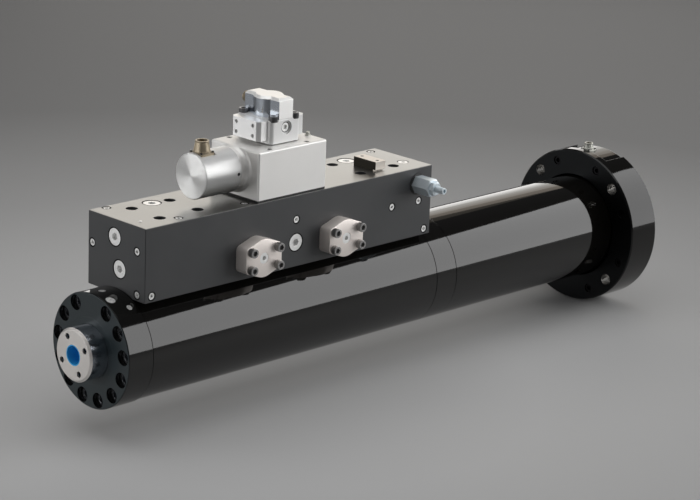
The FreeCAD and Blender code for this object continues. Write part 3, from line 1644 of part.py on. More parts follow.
def sensor_connector():
    """Round connector on a square base with four screws."""
    bottom = spool_z + dim.sensor_radius - dim.sensor_flat_depth
    top = bottom + dim.sensor_socket_plate
    x = sensor_front + dim.sensor_socket_place
    half = dim.sensor_socket_base / 2
    base = box("sensor_socket_blank", (x - half, spool_y - half, bottom), (x + half, spool_y + half, top))
    barrel_top = top + dim.sensor_socket_height
    barrel = cylinder("sensor_barrel", "z", top, barrel_top, x, spool_y, dim.sensor_socket_radius)
    bore = socket_bore("sensor_socket", "z", barrel_top, 1, x, spool_y, dim.sensor_socket_radius)
    keep(cut("sensor_connector_cut", fuse("sensor_blank", [base, barrel]), bore), "sensor_connector")
    screw = (dim.sensor_screw_radius, dim.sensor_screw_height)
    return corner_screws("sensor_connector_screw", top, (x, spool_y), dim.sensor_screw_pitch, screw)


# Pilot stage
def pilot_screw_places():
    long = dim.pilot_screw_pitch_long / 2
    short = dim.pilot_screw_pitch_short / 2
    return [(pilot_middle + short * a, pilot_spool_y + long * b) for a in (-1, 1) for b in (-1, 1)]


def pilot_body():
    """Pilot body with a spool bore along it, a hole for the flapper and a plug bore in its near side."""
    body = new_body("pilot_body")
    outline = rectangle((pilot_x, pilot_y), (pilot_rear, pilot_far))
    pad(body, "pilot_pad", "z", pilot_base, pilot_top, [outline])
    soften(body, "Fillet", "pilot_corners", dim.pilot_corner, lambda edge: runs_along(edge, "z"))
    top_edges = lambda edge: near(edge.BoundBox.ZMin, pilot_top)
    soften(body, "Chamfer", "pilot_top_edges", dim.edge_bevel, top_edges)
    places = pilot_screw_places()
    wide = dim.pilot_screw_thread * dim.screw_head_ratio + dim.head_hole_gap
    through = dim.pilot_screw_thread / 2 + dim.hole_gap
    sink = pilot_top - dim.pilot_screw_sink
    pocket(body, "pilot_counterbores", "z", sink, pilot_top, [(x, y, wide) for x, y in places])
    pocket(body, "pilot_holes", "z", pilot_base, sink, [(x, y, through) for x, y in places])
    bore = dim.pilot_spool_radius + dim.running_gap
    spool_bore = [(pilot_spool_y, pilot_spool_z, bore)]
    pocket(body, "pilot_spool_bore", "x", pilot_x, pilot_rear, spool_bore)
    flapper = [(pilot_middle, pilot_spool_y, dim.flapper_hole_radius)]
    pocket(body, "flapper_hole", "z", pilot_spool_z, pilot_top, flapper)
    centre = (pilot_x + dim.pilot_plug_inset, pilot_base + dim.pilot_plug_rise)
    floor = pilot_y + dim.pilot_plug_sink
    pocket(body, "pilot_plug_recess", "y", pilot_y, floor, [(*centre, dim.pilot_plug_recess_radius)])
    plug_end = floor + dim.plug_sink + dim.pilot_plug_depth
    pocket(body, "pilot_plug_bore", "y", floor, plug_end, [(*centre, dim.pilot_plug_radius + dim.fit_gap)])


def pilot_plate():
    """Seal plate between the pilot body and the main stage."""
    inset = dim.pilot_corner
    low = (pilot_x + inset, pilot_y + inset, valve_top)
    plate = box("pilot_plate_blank", low, (pilot_rear - inset, pilot_far - inset, pilot_base))
    through = dim.pilot_screw_thread / 2 + dim.hole_gap
    holes = [
        cylinder(f"pilot_plate_hole_{number}", "z", valve_top, pilot_base, x, y, through)
        for number, (x, y) in enumerate(pilot_screw_places())
    ]
    return cut("pilot_plate", plate, fuse("pilot_plate_holes", holes))


def cap_corners(width, height, middle):
    """Screws of an end cap across and up."""
    across = width / 2 - dim.pilot_cap_screw_inset
    up = height / 2 - dim.pilot_cap_screw_inset
    return [(pilot_spool_y + across * a, middle + up * b) for a in (-1, 1) for b in (-1, 1)]


def pilot_cap(name, low, high, face, way):
    """End cap of the pilot spool with sunk screws, its standing edges cut off."""
    body = new_body(name)
    height = dim.pilot_cap_height
    half = dim.pilot_cap_width / 2
    bottom = pilot_base + dim.pilot_cap_rise
    outline = rectangle((pilot_spool_y - half, bottom), (pilot_spool_y + half, bottom + height))
    pad(body, name + "_pad", "x", low, high, [outline])
    outer = lambda edge: runs_along(edge, "z") and near(edge.BoundBox.XMin, face)
    soften(body, "Chamfer", name + "_edges", dim.pilot_cap_corner, outer)
    corners = cap_corners(dim.pilot_cap_width - dim.pilot_cap_corner * 2, height, bottom + height / 2)
    depth = dim.pilot_cap_screw_height * 2
    seats = [(y, z, dim.pilot_cap_screw_radius + dim.hole_gap) for y, z in corners]
    pocket(body, name + "_seats", "x", *ordered(face, -way, depth), seats)
    heads = []
    for number, (y, z) in enumerate(corners):
        ends = ordered(face - depth * way, way, dim.pilot_cap_screw_height)
        heads.append(cylinder(f"{name}_screw_{number}", "x", *ends, y, z, dim.pilot_cap_screw_radius))
    return heads


def pilot_caps():
    """Both end caps of the pilot stage."""
    front = pilot_x - dim.pilot_cap_thickness
    heads = pilot_cap("pilot_front_cap", front, pilot_x, front, -1)
    rear = pilot_rear + dim.pilot_rear_cap_thickness
    heads += pilot_cap("pilot_rear_cap", pilot_rear, rear, rear, 1)
    group("pilot_cap_screws", heads)


def pilot_screws():
    """Black screws that hold the pilot stage on the main stage."""
    seat = pilot_top - dim.pilot_screw_sink
    grip = seat - valve_top + dim.pilot_screw_reach
    screws = [
        cap_screw(f"pilot_screw_{number}", "z", 1, seat, x, y, dim.pilot_screw_thread, grip)
        for number, (x, y) in enumerate(pilot_screw_places())
    ]
    group("pilot_screws", screws)


def pilot_plug():
    """Plug at the bottom of a recess in the near side of the pilot body."""
    centre = (pilot_x + dim.pilot_plug_inset, pilot_base + dim.pilot_plug_rise)
    floor = pilot_y + dim.pilot_plug_sink
    closed = plug("pilot_plug_cut", "y", -1, floor, *centre, dim.pilot_plug_radius, dim.pilot_plug_depth)
    keep(closed, "pilot_plug")


def pilot_spool():
    """Pilot spool with the groove that takes the ball of the flapper."""
    body = new_body("pilot_spool")
    middle = pilot_middle
    half = dim.pilot_spool_length / 2
    slot = dim.pilot_slot / 2
    radius = dim.pilot_spool_radius
    turned(body, "pilot_spool_turning", "x", [
        (middle - half, as_size(0)),
        (middle - half, radius),
        (middle - slot, radius),
        (middle - slot, dim.pilot_groove_radius),
        (middle + slot, dim.pilot_groove_radius),
        (middle + slot, radius),
        (middle + half, radius),
        (middle + half, as_size(0)),
    ])
    place(body, (as_size(0), pilot_spool_y, pilot_spool_z))


# Pilot motor
def motor_cover():
    """Hollow cover of the torque motor: a narrow block with a round bulge at each long side for the coils."""
    body = new_body("motor_cover")
    low = (pilot_middle - dim.motor_length / 2, pilot_spool_y - dim.motor_width / 2)
    high = (pilot_middle + dim.motor_length / 2, pilot_spool_y + dim.motor_width / 2)
    pad(body, "motor_block", "z", pilot_top, motor_top, [rectangle(low, high)])
    middle = (pilot_middle, pilot_spool_y)
    pad(body, "motor_bulge", "z", pilot_top, motor_top, [(*middle, dim.motor_bulge_radius)])
    upper = lambda edge: near(edge.BoundBox.ZMin, motor_top)
    soften(body, "Chamfer", "motor_bevel", dim.motor_bevel, upper)
    ceiling = motor_top - dim.motor_bevel
    pocket(body, "motor_cavity", "z", pilot_top, ceiling, [(*middle, dim.motor_cavity_radius)])


def torque_motor():
    """Armature with its flapper and feedback ball, between two coils."""
    centre_z = pilot_top + dim.armature_rise
    half = dim.armature_size / 2
    reach = dim.armature_length / 2
    bar = box(
        "armature_bar",
        (pilot_middle - reach, pilot_spool_y - half, centre_z - half),
        (pilot_middle + reach, pilot_spool_y + half, centre_z + half),
    )
    ball_z = pilot_spool_z + dim.pilot_groove_radius + dim.ball_radius + dim.hole_gap
    rod = cylinder("flapper_rod", "z", ball_z, centre_z, pilot_middle, pilot_spool_y, dim.flapper_radius)
    ball = doc.addObject("Part::Sphere", "flapper_ball")
    bind(ball, Radius=dim.ball_radius)
    place(ball, (pilot_middle, pilot_spool_y, ball_z))
    keep(fuse("armature_fuse", [bar, rod, ball]), "armature")
    coils = []
    for way in (-1, 1):
        middle = pilot_middle + dim.motor_coil_spread / 2 * way
        low = middle - dim.motor_coil_length / 2
        high = middle + dim.motor_coil_length / 2
        outer = cylinder(f"coil_{way + 2}", "x", low, high, pilot_spool_y, centre_z, dim.motor_coil_radius)
        inner = cylinder(f"coil_bore_{way + 2}", "x", low, high, pilot_spool_y, centre_z, dim.motor_coil_bore)
        coils.append(cut(f"motor_coil_{way + 2}", outer, inner))
    group("motor_coils", coils)


def pilot_connector():
    """Round connector on the far side of the motor cover."""
    side = pilot_spool_y + dim.motor_width / 2
    end = side + dim.motor_socket_length
    centre = (pilot_middle, pilot_top + dim.motor_socket_height)
    barrel = cylinder("pilot_barrel", "y", side, end, *centre, dim.motor_socket_radius)
    bore = socket_bore("pilot_socket", "y", end, 1, *centre, dim.motor_socket_radius)
    keep(cut("pilot_connector_cut", barrel, bore), "pilot_connector")


def build():
    """All sub-parts, from the rod end to the pilot stage."""
    plugged_head()
    head_screws()
    head_plugs()
    rod_guides()
    cylinder_tube()
    rear_head()
    extension_tube()
    rear_flange()
    flange_screws()
    rear_cover()
    cover_screws()
    piston_rod()
    thread_protector()
    piston()
    piston_rings()
    transducer()
    manifold_block()
    manifold_plugs()
    manifold_bolts()
    port_covers()
    relief_valve()
    bracket()
    group("seal_plates", [servo_plate(), pilot_plate()])
    servo_body()
    valve_screws()
    main_spool()
    end_cap()
    sensor_cover()
    sensor_parts()
    group("connector_screws", transducer_connector() + sensor_connector())
    pilot_body()
    pilot_caps()
    pilot_screws()
    pilot_plug()
    pilot_spool()
    motor_cover()
    torque_motor()
    pilot_connector()


def check():
    """Stops if an object failed, a shape is broken or a pocket removed nothing."""
    for item in doc.Objects:
        if "Invalid" in item.State or "Error" in item.State:
            raise RuntimeError(f"{item.Name} failed")
        if item.TypeId == "PartDesign::Pocket" and item.BaseFeature.Shape.Volume <= item.Shape.Volume:
            raise RuntimeError(f"{item.Name} removes nothing")
    for item in pieces:
        if item.Shape.isNull() or not item.Shape.isValid():
            raise RuntimeError(f"{item.Label} has no valid shape")


def write():
    """One file per sub-part, named after it."""
    os.makedirs("parts", exist_ok=True)
    for item in pieces:
        item.Shape.exportStep(f"parts/{item.Label}.step")
        print(item.Label, len(item.Shape.Solids))


build()
doc.recompute()
check()
write()
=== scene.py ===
# %% [markdown]
# # Dressing a servo actuator
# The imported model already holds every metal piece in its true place, in metres. This file adds
# what the solids leave plain: a finish for every surface, the moulded shells of the connectors,
# the full outline of the port covers, and threads, knurls, sealing rings and small trim. Then it
# sets up the camera, the floor and the lamps. Each step first says what the real piece is.

# %% Load the frame
import math

import bmesh
import bpy
from mathutils import Matrix, Vector


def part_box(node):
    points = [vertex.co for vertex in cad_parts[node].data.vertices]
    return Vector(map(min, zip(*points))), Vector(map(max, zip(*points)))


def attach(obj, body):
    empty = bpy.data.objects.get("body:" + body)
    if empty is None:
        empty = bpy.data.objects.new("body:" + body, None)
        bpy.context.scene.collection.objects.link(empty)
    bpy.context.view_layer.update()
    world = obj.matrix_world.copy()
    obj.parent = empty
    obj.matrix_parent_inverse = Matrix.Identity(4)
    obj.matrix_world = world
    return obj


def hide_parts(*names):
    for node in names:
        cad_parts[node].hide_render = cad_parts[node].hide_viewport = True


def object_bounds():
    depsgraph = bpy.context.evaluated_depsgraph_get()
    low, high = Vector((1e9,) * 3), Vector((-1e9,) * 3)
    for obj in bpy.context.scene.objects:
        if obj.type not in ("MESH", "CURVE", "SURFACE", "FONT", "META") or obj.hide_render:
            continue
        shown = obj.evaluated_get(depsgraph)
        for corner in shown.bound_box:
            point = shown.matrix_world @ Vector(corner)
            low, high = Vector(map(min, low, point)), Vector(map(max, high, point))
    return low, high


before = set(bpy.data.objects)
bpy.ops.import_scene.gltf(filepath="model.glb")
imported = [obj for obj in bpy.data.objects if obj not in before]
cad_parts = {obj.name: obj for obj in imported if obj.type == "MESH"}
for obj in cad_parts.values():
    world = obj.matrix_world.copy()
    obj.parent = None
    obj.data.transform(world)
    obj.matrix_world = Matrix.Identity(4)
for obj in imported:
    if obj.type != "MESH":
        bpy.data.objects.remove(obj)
cad_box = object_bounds()
print("CAD box", [tuple(round(value, 4) for value in corner) for corner in cad_box])

# %% [markdown]
# ## Where things are
# Every new piece is placed from the box of the node that carries it, so it follows the model
# when a length changes. Only the middle of a box and its two far corners are needed.

# %% Places
def middle(node):
    low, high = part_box(node)
    return (low + high) / 2


def low_of(node):
    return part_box(node)[0]


def high_of(node):
    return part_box(node)[1]


MILLIMETRE = 0.001
rod_front = low_of("piston_rod").x
head_front = low_of("front_head").x
manifold_top = high_of("manifold").z
spool_axis = middle("sensor_cover")
print("rod face at", round(rod_front, 4), "manifold top at", round(manifold_top, 4))

# %% [markdown]
# ## A small language for shader maths
# A material's pattern is arithmetic on coordinates. Wrapping a socket in a class lets that
# arithmetic be written as Python, and each operator adds one Math node behind the scenes.
# The reflected forms are there so that a number can stand on the left, as in 1 - mask.

# %% Sockets that add, multiply and compare
class Value:
    """A number that varies over a surface, as the socket of a node."""

    def __init__(self, tree, socket):
        self.tree = tree
        self.socket = socket

    def maths(self, operation, *items):
        node = self.tree.nodes.new("ShaderNodeMath")
        node.operation = operation
        for slot, item in zip(node.inputs, items):
            if isinstance(item, Value):
                self.tree.links.new(item.socket, slot)
            else:
                slot.default_value = item
        return Value(self.tree, node.outputs[0])

    def __add__(self, other):
        return self.maths("ADD", self, other)

    def __radd__(self, other):
        return self.maths("ADD", other, self)

    def __sub__(self, other):
        return self.maths("SUBTRACT", self, other)

    def __rsub__(self, other):
        return self.maths("SUBTRACT", other, self)

    def __mul__(self, other):
        return self.maths("MULTIPLY", self, other)

    def __rmul__(self, other):
        return self.maths("MULTIPLY", other, self)

    def __truediv__(self, other):
        return self.maths("DIVIDE", self, other)

    def __rtruediv__(self, other):
        return self.maths("DIVIDE", other, self)

    def __gt__(self, other):
        return self.maths("GREATER_THAN", self, other)

    def __lt__(self, other):
        return self.maths("LESS_THAN", self, other)

    def sine(self):
        return self.maths("SINE", self)

    def absolute(self):
        return self.maths("ABSOLUTE", self)

    def root(self):
        return self.maths("SQRT", self)


print("a value adds, subtracts, multiplies, divides and compares")

# %% [markdown]
# ## A finish under construction
# Colours and directions can't go through a Math node, so they need other nodes. One method adds
# any of them: it takes the node's kind, its settings and what goes into its sockets. Everything
# reads Object coordinates, which on a CAD node are the frame's own metres, so a pattern can be
# tied to a place on the real piece.

# %% One way to add a node
class Finish:
    """A material under construction: its tree, its shader, and one way to add any other node."""

    def __init__(self, name, **uniform):
        self.material = bpy.data.materials.new(name)
        self.material.use_nodes = True
        self.tree = self.material.node_tree
        self.shader = self.tree.nodes["Principled BSDF"]
        for socket, value in uniform.items():
            self.shader.inputs[socket].default_value = value

    def node(self, kind, settings=None, **inputs):
        """Adds a node, sets what it is, then fills its sockets with values or links."""
        made = self.tree.nodes.new("ShaderNode" + kind)
        for name, value in (settings or {}).items():
            if name == "stops":
                self.set_stops(made.color_ramp, value)
            else:
                setattr(made, name, value)
        for name, value in inputs.items():
            self.feed(made.inputs[name], value)
        return made

    def set_stops(self, ramp, stops):
        while len(ramp.elements) < len(stops):
            ramp.elements.new(1.0)
        for element, (place, colour) in zip(ramp.elements, stops):
            element.position = place
            element.color = self.opaque(colour)

    def feed(self, slot, value):
        if isinstance(value, Value):
            self.tree.links.new(value.socket, slot)
        elif isinstance(value, bpy.types.NodeSocket):
            self.tree.links.new(value, slot)
        else:
            slot.default_value = value

    def opaque(self, colour):
        """Red, green and blue get their fourth number. A link stays as it is."""
        return (*colour, 1.0) if isinstance(colour, tuple) else colour

    def place(self):
        return self.node("TexCoord").outputs["Object"]

    def axes(self):
        parts = self.node("SeparateXYZ", Vector=self.place())
        return [Value(self.tree, socket) for socket in parts.outputs]

    def scaled(self, scale):
        made = self.node("VectorMath", {"operation": "MULTIPLY"})
        self.feed(made.inputs[0], self.place())
        made.inputs[1].default_value = scale
        return made.outputs[0]

    def noise(self, scale, detail, vector=None):
        source = self.place() if vector is None else vector
        made = self.node("TexNoise", Vector=source, Scale=scale, Detail=detail)
        return Value(self.tree, made.outputs["Fac"])

    def mix(self, share, first, second):
        """Goes from the first colour to the second. Its colour sockets are numbers 6 and 7."""
        made = self.node("Mix", {"data_type": "RGBA"})
        self.feed(made.inputs[0], share)
        self.feed(made.inputs[6], self.opaque(first))
        self.feed(made.inputs[7], self.opaque(second))
        return made.outputs[2]

    def colour(self, value):
        self.feed(self.shader.inputs["Base Color"], value)

    def roughness(self, value):
        self.feed(self.shader.inputs["Roughness"], value)

    def metallic(self, value):
        self.feed(self.shader.inputs["Metallic"], value)

    def soft_edges(self, radius):
        """A surface direction that rounds every edge, so that it catches a highlight."""
        return self.node("Bevel", {"samples": 6}, Radius=radius).outputs["Normal"]

    def bump(self, height, strength, distance, edge):
        made = self.node("Bump", Height=height, Strength=strength, Distance=distance)
        self.feed(made.inputs["Normal"], self.soft_edges(edge))
        self.feed(self.shader.inputs["Normal"], made.outputs["Normal"])


print("what a finish can do:", [name for name in dir(Finish) if not name.startswith("_")])

# %% [markdown]
# ## Bright metals
# Plated, ground and blasted metal differ in three things: the tint of the metal, how wide its
# highlight is, and what the tool left on it. One recipe takes those three and adds a slow
# cloud of variation to the roughness, because no real surface is evenly clean. The shader also
# rounds every edge by a fraction of a millimetre, since a broken edge is what catches the light.

# %% The recipe for plain metal
EVEN = (1.0, 1.0, 1.0)
DARKEST = 0.86


def dimmed(tint, share):
    return tuple(value * share for value in tint)


def metal(name, tint, rough, grain, depth, spread=0.08, scale=EVEN, edge=0.0005, share=1.0):
    """Metal with so many grains a metre. Scale stretches them, share is how metallic it is."""
    finish = Finish(name, Metallic=share)
    clouds = finish.noise(18.0, 4.0)
    speckle = finish.noise(grain, 2.0, finish.scaled(scale))
    finish.roughness(rough + (clouds - 0.5) * spread + (speckle - 0.5) * spread)
    finish.colour(finish.mix(clouds * 0.6 + speckle * 0.4, dimmed(tint, DARKEST), tint))
    finish.bump(speckle, 0.35, depth, edge)
    return finish.material


print("the darkest patch of a metal has", DARKEST, "of its tint")

# %% [markdown]
# ## A shelf of metals
# The port covers, plugs and relief valve are bare or zinc plated steel, the servovalve is
# aluminium that was blasted or anodised, and the screws are blackened to several depths. Zinc,
# blasting and anodising scatter some light as a pale paint does, so those metals are given a
# metallic share below one.

# %% Every plain metal of the actuator
# Each has a tint, a roughness, a number of grains a metre and their depth in metres.
FINE_EDGE = 0.0003
WINDING = (0.05, 1.0, 1.0)
bright_plug = metal("bright_plug", (0.97, 0.97, 0.96), 0.42, 900.0, 0.00008)
cover_steel = metal("cover_steel", (0.95, 0.88, 0.83), 0.4, 700.0, 0.0001, share=0.65)
zinc_blue = metal("zinc_blue", (0.72, 0.8, 0.85), 0.38, 800.0, 0.00008, share=0.6)
blasted = metal("blasted_aluminium", (0.87, 0.86, 0.84), 0.5, 1500.0, 0.00016, 0.06,
                edge=FINE_EDGE, share=0.75)
pale_anodised = metal("pale_anodised", (0.82, 0.82, 0.815), 0.5, 1200.0, 0.0001, 0.05, share=0.65)
# Painted light: the pilot stage's front cap gets its own brighter, fully metallic copy of the
# pale aluminium, for the light on its face.
front_cap_painted_light = metal("front_cap_painted_light", (0.98, 0.98, 0.975), 0.46, 1200.0, 0.0001, 0.05)
olive_shell = metal("olive_shell", (0.4, 0.34, 0.25), 0.4, 1100.0, 0.0001, edge=FINE_EDGE)
grey_shell = metal("grey_shell", (0.5, 0.5, 0.46), 0.42, 1100.0, 0.0001, edge=FINE_EDGE)
bronze = metal("bearing_bronze", (0.62, 0.42, 0.2), 0.35, 900.0, 0.0001)
copper = metal("copper_winding", (0.8, 0.42, 0.24), 0.35, 1400.0, 0.0002, 0.05, WINDING)
steel = metal("turned_steel", (0.6, 0.6, 0.59), 0.3, 900.0, 0.0001)
grey_screw = metal("grey_screw", (0.36, 0.355, 0.35), 0.36, 900.0, 0.00008, edge=FINE_EDGE)
dark_screw = metal("dark_screw", (0.16, 0.16, 0.165), 0.3, 900.0, 0.00008, edge=FINE_EDGE)
black_oxide = metal("black_oxide", (0.3, 0.31, 0.33), 0.26, 900.0, 0.00006, edge=0.0007)
black_flange_screw = metal("black_flange_screw", (0.02, 0.02, 0.021), 0.3, 900.0, 0.00006,
                           edge=FINE_EDGE)
gold_pin = metal("gold_pin", (0.9, 0.68, 0.3), 0.22, 1500.0, 0.00003, edge=0.0001)
print("metals made:", len(bpy.data.materials))

# %% [markdown]
# ## Turned faces
# A lathe leaves rings so fine that one ring is far below a pixel. Together they spread light
# across the rings and hardly along them, which gives the bright fan on a turned face. The
# rings are drawn as a tilt of the surface normal, away from and towards the axis in turn.

# %% A finish with rings around an axis parallel to X
def turned(name, centre, pitch, tilt):
    """Bare metal with rings. Its colour and roughness are set by whoever uses it."""
    finish = Finish(name, Metallic=1.0)
    x, y, z = finish.axes()
    across = y - centre.y
    up = z - centre.z
    radius = (across * across + up * up).root() + 1e-6
    wander = finish.noise(60.0, 2.0) * 9.0
    wave = ((radius + x) * (math.tau / pitch) + wander).sine() * tilt
    lean = finish.node("CombineXYZ", X=wave, Y=wave * across / radius, Z=wave * up / radius)
    normal = finish.node("VectorMath", {"operation": "ADD"})
    finish.feed(normal.inputs[0], finish.soft_edges(0.0006))
    finish.feed(normal.inputs[1], lean.outputs[0])
    straight = finish.node("VectorMath", {"operation": "NORMALIZE"})
    finish.feed(straight.inputs[0], normal.outputs[0])
    finish.feed(finish.shader.inputs["Normal"], straight.outputs[0])
    return finish


print("rings go around the rod or the spool, both parallel to X")

# %% [markdown]
# ## The sensor's cover
# The cover of the spool's position sensor is a turned cup of bare aluminium. Its end face is
# painted lighter than its side, as painted light, so a mask that reads X lifts the tint there.

# %% Turned aluminium with a painted-light end
END_FACE_DEPTH = 0.001
turned_cover = turned("turned_aluminium", spool_axis, 0.00047, 0.3)
turned_cover.roughness(0.35 + (turned_cover.noise(25.0, 3.0) - 0.5) * 0.06)
# Painted light: the end face is tinted lighter than the side, for the light that falls on it.
painted_light_end = turned_cover.axes()[0] < low_of("sensor_cover").x + END_FACE_DEPTH
turned_cover.colour(turned_cover.mix(painted_light_end, (0.58, 0.58, 0.575), (0.8, 0.8, 0.79)))
turned_aluminium = turned_cover.material
print("rings turned around the spool's axis at", [round(value, 4) for value in spool_axis])

# %% [markdown]
# ## The rod
# Hard chrome on the rod is a dark mirror. Its end face was turned and left bare, so it is
# paler and rougher. One material serves both: a mask reads how far along X a point lies.

# %% Chrome with a bare end face
BARE_DEPTH = 0.0036
rod_axis = Vector((0.0, 0.0, 0.0))
rod_finish = turned("hard_chrome", rod_axis, 0.00061, 0.1)
face = rod_finish.axes()[0] < rod_front + BARE_DEPTH
rod_clouds = rod_finish.noise(30.0, 3.0)
rod_finish.roughness(0.16 + face * 0.26 + (rod_clouds - 0.5) * 0.05)
rod_finish.colour(rod_finish.mix(face, (0.56, 0.6, 0.66), (0.78, 0.75, 0.72)))
hard_chrome = rod_finish.material
print("bare face on the rod up to x", round(rod_front + BARE_DEPTH, 4))

# %% [markdown]
# ## Black coats
# The tubes and the flange carry a glossy black coat that mirrors the room, with a faint
# waviness. Black has almost no colour of its own, so its look is all in the reflection: a high
# refractive index for the mirror strength, and dust that breaks it up here and there. Blackened
# screws and rubber are the same coat with less gloss.

# %% Gloss black and screw black
def black_coat(name, tint, rough, wave, index):
    """A black coat whose colour and gloss can still be changed before they are fed in."""
    finish = Finish(name, IOR=index)
    clouds = finish.noise(9.0, 4.0)
    dust = finish.noise(420.0, 2.0) > 0.7
    finish.base = finish.mix(clouds, dimmed(tint, 0.8), tint)
    finish.gloss = rough + (clouds - 0.5) * rough * 0.5 + dust * 0.03
    finish.colour(finish.base)
    finish.roughness(finish.gloss)
    finish.bump(finish.noise(30.0, 2.0), 0.1, wave, 0.0007)
    return finish


screw_black = black_coat("screw_black", (0.018, 0.018, 0.02), 0.26, 0.0001, 1.6).material
rubber = black_coat("seal_rubber", (0.02, 0.02, 0.02), 0.55, 0.0003, 1.5).material
print("black coats made:", screw_black.name, rubber.name)

# %% [markdown]
# ## Joint lines
# Head, tube, ring and extension were coated before they were bolted together, so each joint
# shows as a hair line that reflects nothing. A black metal reflects nothing at all, so a mask
# of the places along X turns the coat into black metal for a millimetre or two.

# %% The tubes and the lines between them
WIDE_LINE = 0.0013
FINE_LINE = 0.0008
joints = {
    low_of("cylinder_tube").x: WIDE_LINE,
    high_of("cylinder_tube").x: FINE_LINE,
    low_of("extension_tube").x: FINE_LINE,
}


def with_joint_lines(finish):
    x = finish.axes()[0]
    lines = [(x - joint).absolute() < half_width for joint, half_width in joints.items()]
    line = lines[0] + lines[1] + lines[2]
    finish.base = finish.mix(line, finish.base, (0.0, 0.0, 0.0))
    finish.colour(finish.base)
    finish.metallic(line)
    return finish


GLOSS_TINT = (0.004, 0.0036, 0.003)
GLOSS_INDEX = 1.53
tube_coat = black_coat("gloss_black", GLOSS_TINT, 0.05, 0.0003, GLOSS_INDEX)
gloss_black = with_joint_lines(tube_coat).material
print("joint lines at x", [round(joint, 4) for joint in joints])

# %% [markdown]
# ## The head's face
# The face of the head was milled after coating and blackened again, so it is a blue-grey satin
# next to the gloss of the barrel. The mask reads X and takes in the face alone.

# %% Satin face on the head
FACE_DEPTH = 0.0008
head_coat = black_coat("head_black", (0.004, 0.0038, 0.0033), 0.06, 0.0003, GLOSS_INDEX)
with_joint_lines(head_coat)
face = head_coat.axes()[0] < head_front + FACE_DEPTH
head_coat.colour(head_coat.mix(face, head_coat.base, (0.0105, 0.019, 0.0225)))
head_coat.roughness(head_coat.gloss + face * 0.3)
head_black = head_coat.material
print("satin face up to x", round(head_front + FACE_DEPTH, 4))

# %% [markdown]
# ## The flange
# Its front face and the chamfer around the tube are dead black, and its four mounting holes
# were reamed after coating, so they shine. They lie on the diagonals, so one test on |y| and
# |z| finds all four. Every mask but that of the face starts behind the face.

# %% Dead black face, bright holes
HOLE_OFFSET = 0.0889
HOLE_RADIUS = 0.0116
CHAMFER_RADIUS = 0.12
CHAMFER_DEPTH = 0.024
flange_front = low_of("rear_flange").x
flange_coat = black_coat("flange_black", GLOSS_TINT, 0.06, 0.0003, 1.42)
x, y, z = flange_coat.axes()
face = x < flange_front + FACE_DEPTH
behind = x > flange_front + FACE_DEPTH
across = y.absolute() - HOLE_OFFSET
up = z.absolute() - HOLE_OFFSET
bore = (across * across + up * up < HOLE_RADIUS * HOLE_RADIUS) * behind
inside = (y * y + z * z < CHAMFER_RADIUS * CHAMFER_RADIUS) * behind
chamfer = inside * (x < flange_front + CHAMFER_DEPTH)
shade = flange_coat.mix(face + chamfer, flange_coat.base, (0.022, 0.023, 0.024))
flange_coat.colour(flange_coat.mix(bore, shade, (0.95, 0.94, 0.92)))
flange_coat.metallic(face + chamfer + bore)
flange_coat.roughness(flange_coat.gloss + face * 0.25 + bore * 0.12)
flange_black = flange_coat.material
print("bright holes from x", round(flange_front + FACE_DEPTH, 4),
      "to", round(high_of("rear_flange").x, 4))

# %% [markdown]
# ## The manifold
# The block was blackened all over and its top was then ground flat, so the top is bare steel.
# A mask on height keeps the sides black. Grinding runs along the block, so the noise of the
# top is stretched along X.

# %% Black sides, ground top
GROUND_DEPTH = 0.0006


def manifold_finish():
    finish = Finish("manifold_block", IOR=1.5)
    top = finish.axes()[2] > manifold_top - GROUND_DEPTH
    clouds = finish.noise(14.0, 4.0)
    grind = finish.noise(500.0, 3.0, finish.scaled((0.02, 1.0, 1.0)))
    side = finish.mix(clouds, (0.034, 0.037, 0.04), (0.058, 0.058, 0.06))
    ground = finish.mix(clouds * 0.5 + grind * 0.5, (0.225, 0.223, 0.213), (0.3, 0.297, 0.284))
    finish.colour(finish.mix(top, side, ground))
    finish.metallic(top * 0.95)
    finish.roughness(0.46 - top * 0.16 + (clouds - 0.5) * 0.1)
    finish.bump(grind * top + finish.noise(900.0, 2.0) * 0.5, 0.3, 0.00008, 0.0006)
    return finish.material


manifold_black = manifold_finish()
print("ground top above z", round(manifold_top - GROUND_DEPTH, 4))

# %% [markdown]
# ## The bracket
# The small bracket block is ground on its top and near sides. Its side that faces the valve
# lies in shade, and one mask on X paints that shade in, turning the warm steel dark.

# %% Ground block with painted shade on one side
SHADED_SIDE_DEPTH = 0.0006
painted_shade_side = low_of("bracket_block").x + SHADED_SIDE_DEPTH


def bracket_finish():
    finish = Finish("bracket_steel", Metallic=1.0)
    painted_shade = finish.axes()[0] < painted_shade_side
    clouds = finish.noise(30.0, 3.0)
    grain = finish.noise(900.0, 2.0)
    ground = finish.mix(clouds, (0.5, 0.46, 0.42), (0.62, 0.58, 0.53))
    # Painted shade: the side that faces the valve is made near-black, for the shade that falls
    # there.
    finish.colour(finish.mix(painted_shade, ground, (0.03, 0.027, 0.022)))
    finish.roughness(0.4 + (clouds - 0.5) * 0.08)
    finish.bump(grain, 0.3, 0.0001, 0.0005)
    return finish.material


bracket_steel = bracket_finish()
print("black side of the bracket up to x", round(painted_shade_side, 4))

# %% [markdown]
# ## Plastics
# The rod's thread is kept clean by a blue moulded cup. Moulded plastic is a plain colour with
# a soft highlight and a very slight texture from the mould. The piston's guide bands and the
# inserts that hold the pins of the connectors are plastic too.

# %% Moulded plastic
def plastic(name, tint, rough):
    finish = Finish(name)
    clouds = finish.noise(40.0, 3.0)
    finish.colour(finish.mix(clouds, dimmed(tint, 0.85), tint))
    finish.roughness(rough + (clouds - 0.5) * 0.1)
    finish.bump(finish.noise(1300.0, 2.0), 0.2, 0.00006, 0.0004)
    return finish.material


blue_cup = plastic("blue_cup", (0.05, 0.42, 0.8), 0.26)
guide_band = plastic("guide_band", (0.28, 0.22, 0.14), 0.5)
contact_insert = plastic("contact_insert", (0.03, 0.03, 0.03), 0.45)
print("plastics made:", blue_cup.name, guide_band.name, contact_insert.name)

